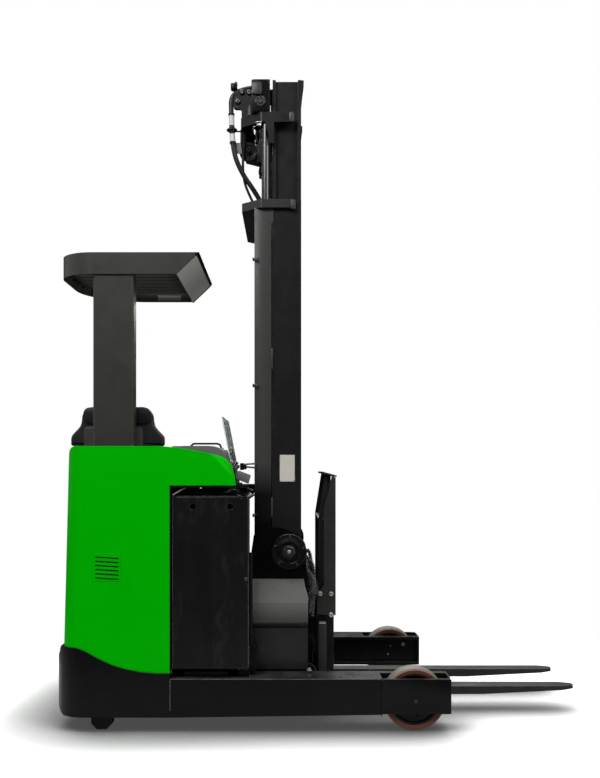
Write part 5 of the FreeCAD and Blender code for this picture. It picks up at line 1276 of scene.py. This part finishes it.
# A pale strip along the screen's front edge, partly the cut edge and partly a painted highlight.
edge_bar = side_plate([(-0.4462, 1.206), (-0.4436, 1.206), (-0.4925, 1.456), (-0.4950, 1.456)],
                      SCREEN_Y - 0.001, SCREEN_Y + 0.003, 0.0004)
piece("screen_edge", "chassis", "acrylic", "bright_edge", edge_bar)
piece("screen_nuts", "chassis", "steel", "zinc",
      *row(lambda: hex_bolt(0.013, 0.006), [(-0.4475, y, 1.236) for y in (-0.333, 0.073)], (1, 0, 0.2)))


# ---------------------------------------------------------------- battery
bat_lo, bat_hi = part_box("battery")
hood_lo, hood_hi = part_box("battery_hood")
CELL_FOOT = 1.048
CELL_TOP = CELL_FOOT + 0.014
cells, plugs, posts, links = [], [], [], []
for i in range(4):
    for j in range(6):
        x = bat_lo.x + 0.055 + 0.080 * i
        y = -0.475 + 0.190 * j
        cells.append(block((x - 0.038, y - 0.092, CELL_FOOT), (x + 0.038, y + 0.092, CELL_TOP), 0.003, 1))
        plugs.append(moved(turned([(0, 0), (0.017, 0), (0.017, 0.008), (0.011, 0.012), (0.011, 0.016),
                                   (0, 0.016)], 16), (x, y, CELL_TOP)))
        for aside in (-0.060, 0.060):
            posts.append(moved(turned([(0, 0), (0.010, 0), (0.010, 0.010), (0.007, 0.013), (0, 0.013)], 14),
                               (x, y + aside, CELL_TOP)))
        if i < 3:
            link_y = y + 0.060 - 0.12 * (i % 2)
            links.append(block((x - 0.006, link_y - 0.010, CELL_FOOT + 0.022),
                               (x + 0.086, link_y + 0.010, CELL_FOOT + 0.027), 0.002, 1))
piece("battery_cells", "chassis", "battery_paint", "dark_plastic", *cells)
piece("battery_plugs", "chassis", "dark_plastic", "rubber", *plugs)
piece("battery_posts", "chassis", "steel", "zinc_dark", *posts)
piece("battery_links", "chassis", "hose_rubber", "deep_black", *links)
cables = [pipe([(x, -0.575, CELL_FOOT + 0.020), (x + 0.01, -0.560, CELL_FOOT + 0.045),
                (x + 0.05, -0.52, CELL_FOOT + 0.052), (x + 0.10, -0.44, CELL_FOOT + 0.048),
                (x + 0.12, -0.38, CELL_FOOT + 0.022)], 0.010) for x in (-0.64, -0.56, -0.50)]
cables.append(pipe([(-0.69, 0.30, CELL_FOOT + 0.03), (-0.64, 0.32, CELL_FOOT + 0.05),
                    (-0.50, 0.33, CELL_FOOT + 0.052), (-0.40, 0.32, CELL_FOOT + 0.05),
                    (-0.37, 0.25, CELL_FOOT + 0.03)], 0.011))
piece("battery_cables", "chassis", "hose_rubber", "rubber", *cables)
seals = [block((a, 0.574, 1.074), (b, 0.586, hood_lo.z + 0.031), 0.002)
         for a, b in ((hood_lo.x + 0.006, -0.6925), (-0.6815, -0.4965), (-0.4855, hood_hi.x - 0.002))]
piece("hood_seal", "chassis", "floor_rubber", "deep_black", *seals)
plug_body = stood(turned([(0, 0), (0.016, 0), (0.0165, 0.004), (0.0165, 0.040), (0.013, 0.046), (0.013, 0.09),
                          (0, 0.09)], 28), (-0.376, -0.607, 1.103), (0, 1, 0))
piece("battery_plug", "chassis", "dark_plastic", "deep_black", plug_body)
stay = side_plate([(-0.707, 1.086), (-0.700, 1.082), (-0.641, 1.117), (-0.645, 1.123)], -0.617, -0.610, 0.001)
piece("hood_stay", "chassis", "steel", "light_grey", stay)
button = stood(turned([(0, 0), (0.0095, 0), (0.0095, 0.002), (0.0070, 0.0035), (0, 0.0035)], 24),
               (-0.3665, bat_lo.y, 0.698), FRONT)
piece("battery_buttons", "chassis", "battery_paint", "bare_grey", *both(button))
# Painted highlights along the battery's front edges and top rim.
bright = [highlight_strip(bat_lo.x - 0.0004, bat_lo.x + 0.0030, 0.290, 1.078, bat_lo.y),
          highlight_strip(bat_hi.x - 0.0030, bat_hi.x + 0.0004, 0.290, 1.078, bat_lo.y),
          highlight_strip(bat_lo.x, bat_hi.x, 1.0765, 1.0800, bat_lo.y)]
piece("battery_edge_highlights", "chassis", "battery_paint", "dim_edge_highlight", *both(*bright))
# Deep black strips in the gap under the battery, as painted shade over its bed.
bed = block((bat_lo.x - 0.004, -0.590, 0.2435), (bat_hi.x + 0.002, -0.570, 0.2795), 0.002)
piece("battery_bed_shade_strips", "chassis", "floor_rubber", "deep_black", *both(bed))


# ---------------------------------------------------------------- drive wheel, left side and rear
def cleats(node, count, depth, width, lean):
    """Raised blocks round a tyre that rolls about the Y axis."""
    low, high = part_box(node)
    middle = (low + high) / 2
    radius = (high.x - low.x) / 2
    across = high.y - low.y
    shapes = []
    for k in range(count):
        for side in (-1, 1):
            cleat = block((-width, -across * 0.20, 0), (width, across * 0.20, depth), 0.0012, 1)
            bmesh.ops.rotate(cleat, cent=(0, 0, 0), matrix=Matrix.Rotation(side * lean, 3, "Z"), verts=cleat.verts)
            moved(cleat, (0, side * across * 0.24, radius - depth * 1.08))
            bmesh.ops.rotate(cleat, cent=(0, 0, 0), verts=cleat.verts,
                             matrix=Matrix.Rotation(math.tau * (k + 0.25 * side) / count, 3, "Y"))
            shapes.append(moved(cleat, middle))
    return shapes


piece("drive_tyre_cleats", "drive_wheel", "drive_rubber", "rubber",
      *cleats("drive_tyre", count=44, depth=0.0025, width=0.0075, lean=0.35))
drive_lo, drive_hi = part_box("drive_hub")
DRIVE = (drive_lo + drive_hi) / 2
piece("drive_wheel_bolts", "drive_wheel", "steel", "zinc_dark",
      *row(lambda: hex_bolt(0.024, 0.014), circle(DRIVE, 0.075, turns(7), drive_hi.y - DRIVE.y), (0, 1, 0)))
motor_lo, motor_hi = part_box("drive_motor")
MOTOR = (motor_lo + motor_hi) / 2
fins = [moved(turned([(0.118, 0), (0.1235, 0.001), (0.1235, 0.004), (0.118, 0.005)], 40, ring=True),
              (MOTOR.x, MOTOR.y, motor_lo.z + 0.05 + 0.016 * k)) for k in range(11)]
piece("motor_fins", "chassis", "iron", "iron", *fins)
piece("motor_bolts", "chassis", "steel", "zinc_dark",
      *row(lambda: hex_bolt(0.013, 0.008), [(MOTOR.x + 0.095 * math.cos(a), MOTOR.y + 0.095 * math.sin(a), motor_hi.z)
                                            for a in turns(6)]))

LAMP_Z = 0.86
LAMP_PLACES = (-0.38, 0.38)
lamps = [stood(turned([(0, 0), (0.034, 0), (0.034, 0.006), (0.029, 0.012), (0.012, 0.015), (0, 0.0155)], 36),
               (rear_at(y, LAMP_Z) + 0.0100, y, LAMP_Z), (-1, 0, 0)) for y in LAMP_PLACES]
piece("rear_lamps", "chassis", "acrylic", "red", *lamps)
rings = [stood(turned([(0.034, 0), (0.040, 0), (0.040, 0.005), (0.036, 0.008), (0.034, 0.008)], 36, ring=True),
               (rear_at(y, LAMP_Z) - 0.0050, y, LAMP_Z), (1, 0, 0)) for y in LAMP_PLACES]
piece("rear_lamp_rings", "chassis", "dark_plastic", "dark_plastic", *rings)
COVER_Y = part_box("body_cover")[0].y
vent_plate = block((-1.066, COVER_Y - 0.0008, 0.690), (-0.938, COVER_Y + 0.001, 0.818), 0.0003, 1)
piece("vent_plate", "chassis", "green_paint", "green", vent_plate)
slots = []
for k in range(6):
    slot = block((-0.0535, -0.0006, -0.0030), (0.0535, 0.0006, 0.0030), 0.0005, 1)
    bmesh.ops.rotate(slot, cent=(0, 0, 0), matrix=Matrix.Rotation(math.radians(3.5), 3, "Y"), verts=slot.verts)
    slots.append(moved(slot, (-1.002, COVER_Y - 0.0010, 0.7975 - 0.0190 * k)))
piece("vent_slots", "chassis", "black_paint", "deep_black", *slots)
PANEL_CORNERS = ((-0.40, 0.47), (0.40, 0.47), (0.40, 0.76), (-0.40, 0.76), (-0.40, 0.47))
panel_ring = [(rear_at(0, z) - 0.0003, y, z) for y, z in PANEL_CORNERS]
seams = [pipe(ends, 0.0018, smooth=False) for ends in zip(panel_ring, panel_ring[1:])]
piece("rear_panel_seams", "chassis", "black_paint", "deep_black", *seams)
panel_screws = [stood(turned([(0, 0), (0.007, 0), (0.006, 0.002), (0.003, 0.0025), (0.003, 0.001), (0, 0.001)], 20),
                      (rear_at(y, z), y, z), (-1, 0, 0)) for y in (-0.37, 0.37) for z in (0.50, 0.73)]
piece("rear_panel_screws", "chassis", "steel", "zinc_dark", *panel_screws)
louvres = [block((rear_at(0, z) - 0.0015, -0.14, z), (rear_at(0, z) + 0.001, 0.14, z + 0.006), 0.0007, 1)
           for z in [0.58 + 0.016 * k for k in range(6)]]
piece("rear_louvres", "chassis", "black_paint", "deep_black", *louvres)
latch_plate = block((-0.475, 0.6045, 0.640), (-0.425, 0.6095, 0.720), 0.002)
latch_knob = stood(turned([(0, 0), (0.014, 0), (0.014, 0.006), (0.011, 0.010), (0, 0.010)], 24),
                   (-0.450, 0.6090, 0.680), (0, 1, 0))
piece("battery_latch", "chassis", "steel", "zinc_dark", latch_plate, latch_knob)
piece("hood_hinges", "chassis", "steel", "zinc_dark",
      *row(lambda: disc(0.007, 0.060), [(x, 0.6245, 1.121) for x in (-0.720, -0.560)], (1, 0, 0)))


# ---------------------------------------------------------------- forks and mast front
fork_y = (fork_hi.y + 0.153) / 2
heel_marks = [block((fork_lo.x - 0.0006, y - 0.030, 0.250), (fork_lo.x + 0.002, y + 0.030, 0.310), 0.0004, 1)
              for y in (-fork_y, fork_y)]
piece("fork_plates", "side_shift", "steel", "zinc_dark", *heel_marks)
free_lo, free_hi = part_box("free_lift_cylinder")
gland = moved(turned([(0.026, 0), (0.046, 0), (0.047, 0.004), (0.047, 0.034), (0.043, 0.040), (0.026, 0.040)], 36,
                     ring=True), ((free_lo.x + free_hi.x) / 2, 0, free_hi.z - 0.038))
piece("free_lift_gland", "mast_inner", "mast_paint", "gloss_black", gland)
sheave_pins = [stood(nut_and_stud(0.026, 0.010, 0.002, 0.008, 0.006, 0.010), (-0.235, side * 0.110, SHEAVE_Z),
                     (0, side, 0)) for side in (-1, 1)]
piece("sheave_pins", "free_lift", "steel", "zinc", *sheave_pins)
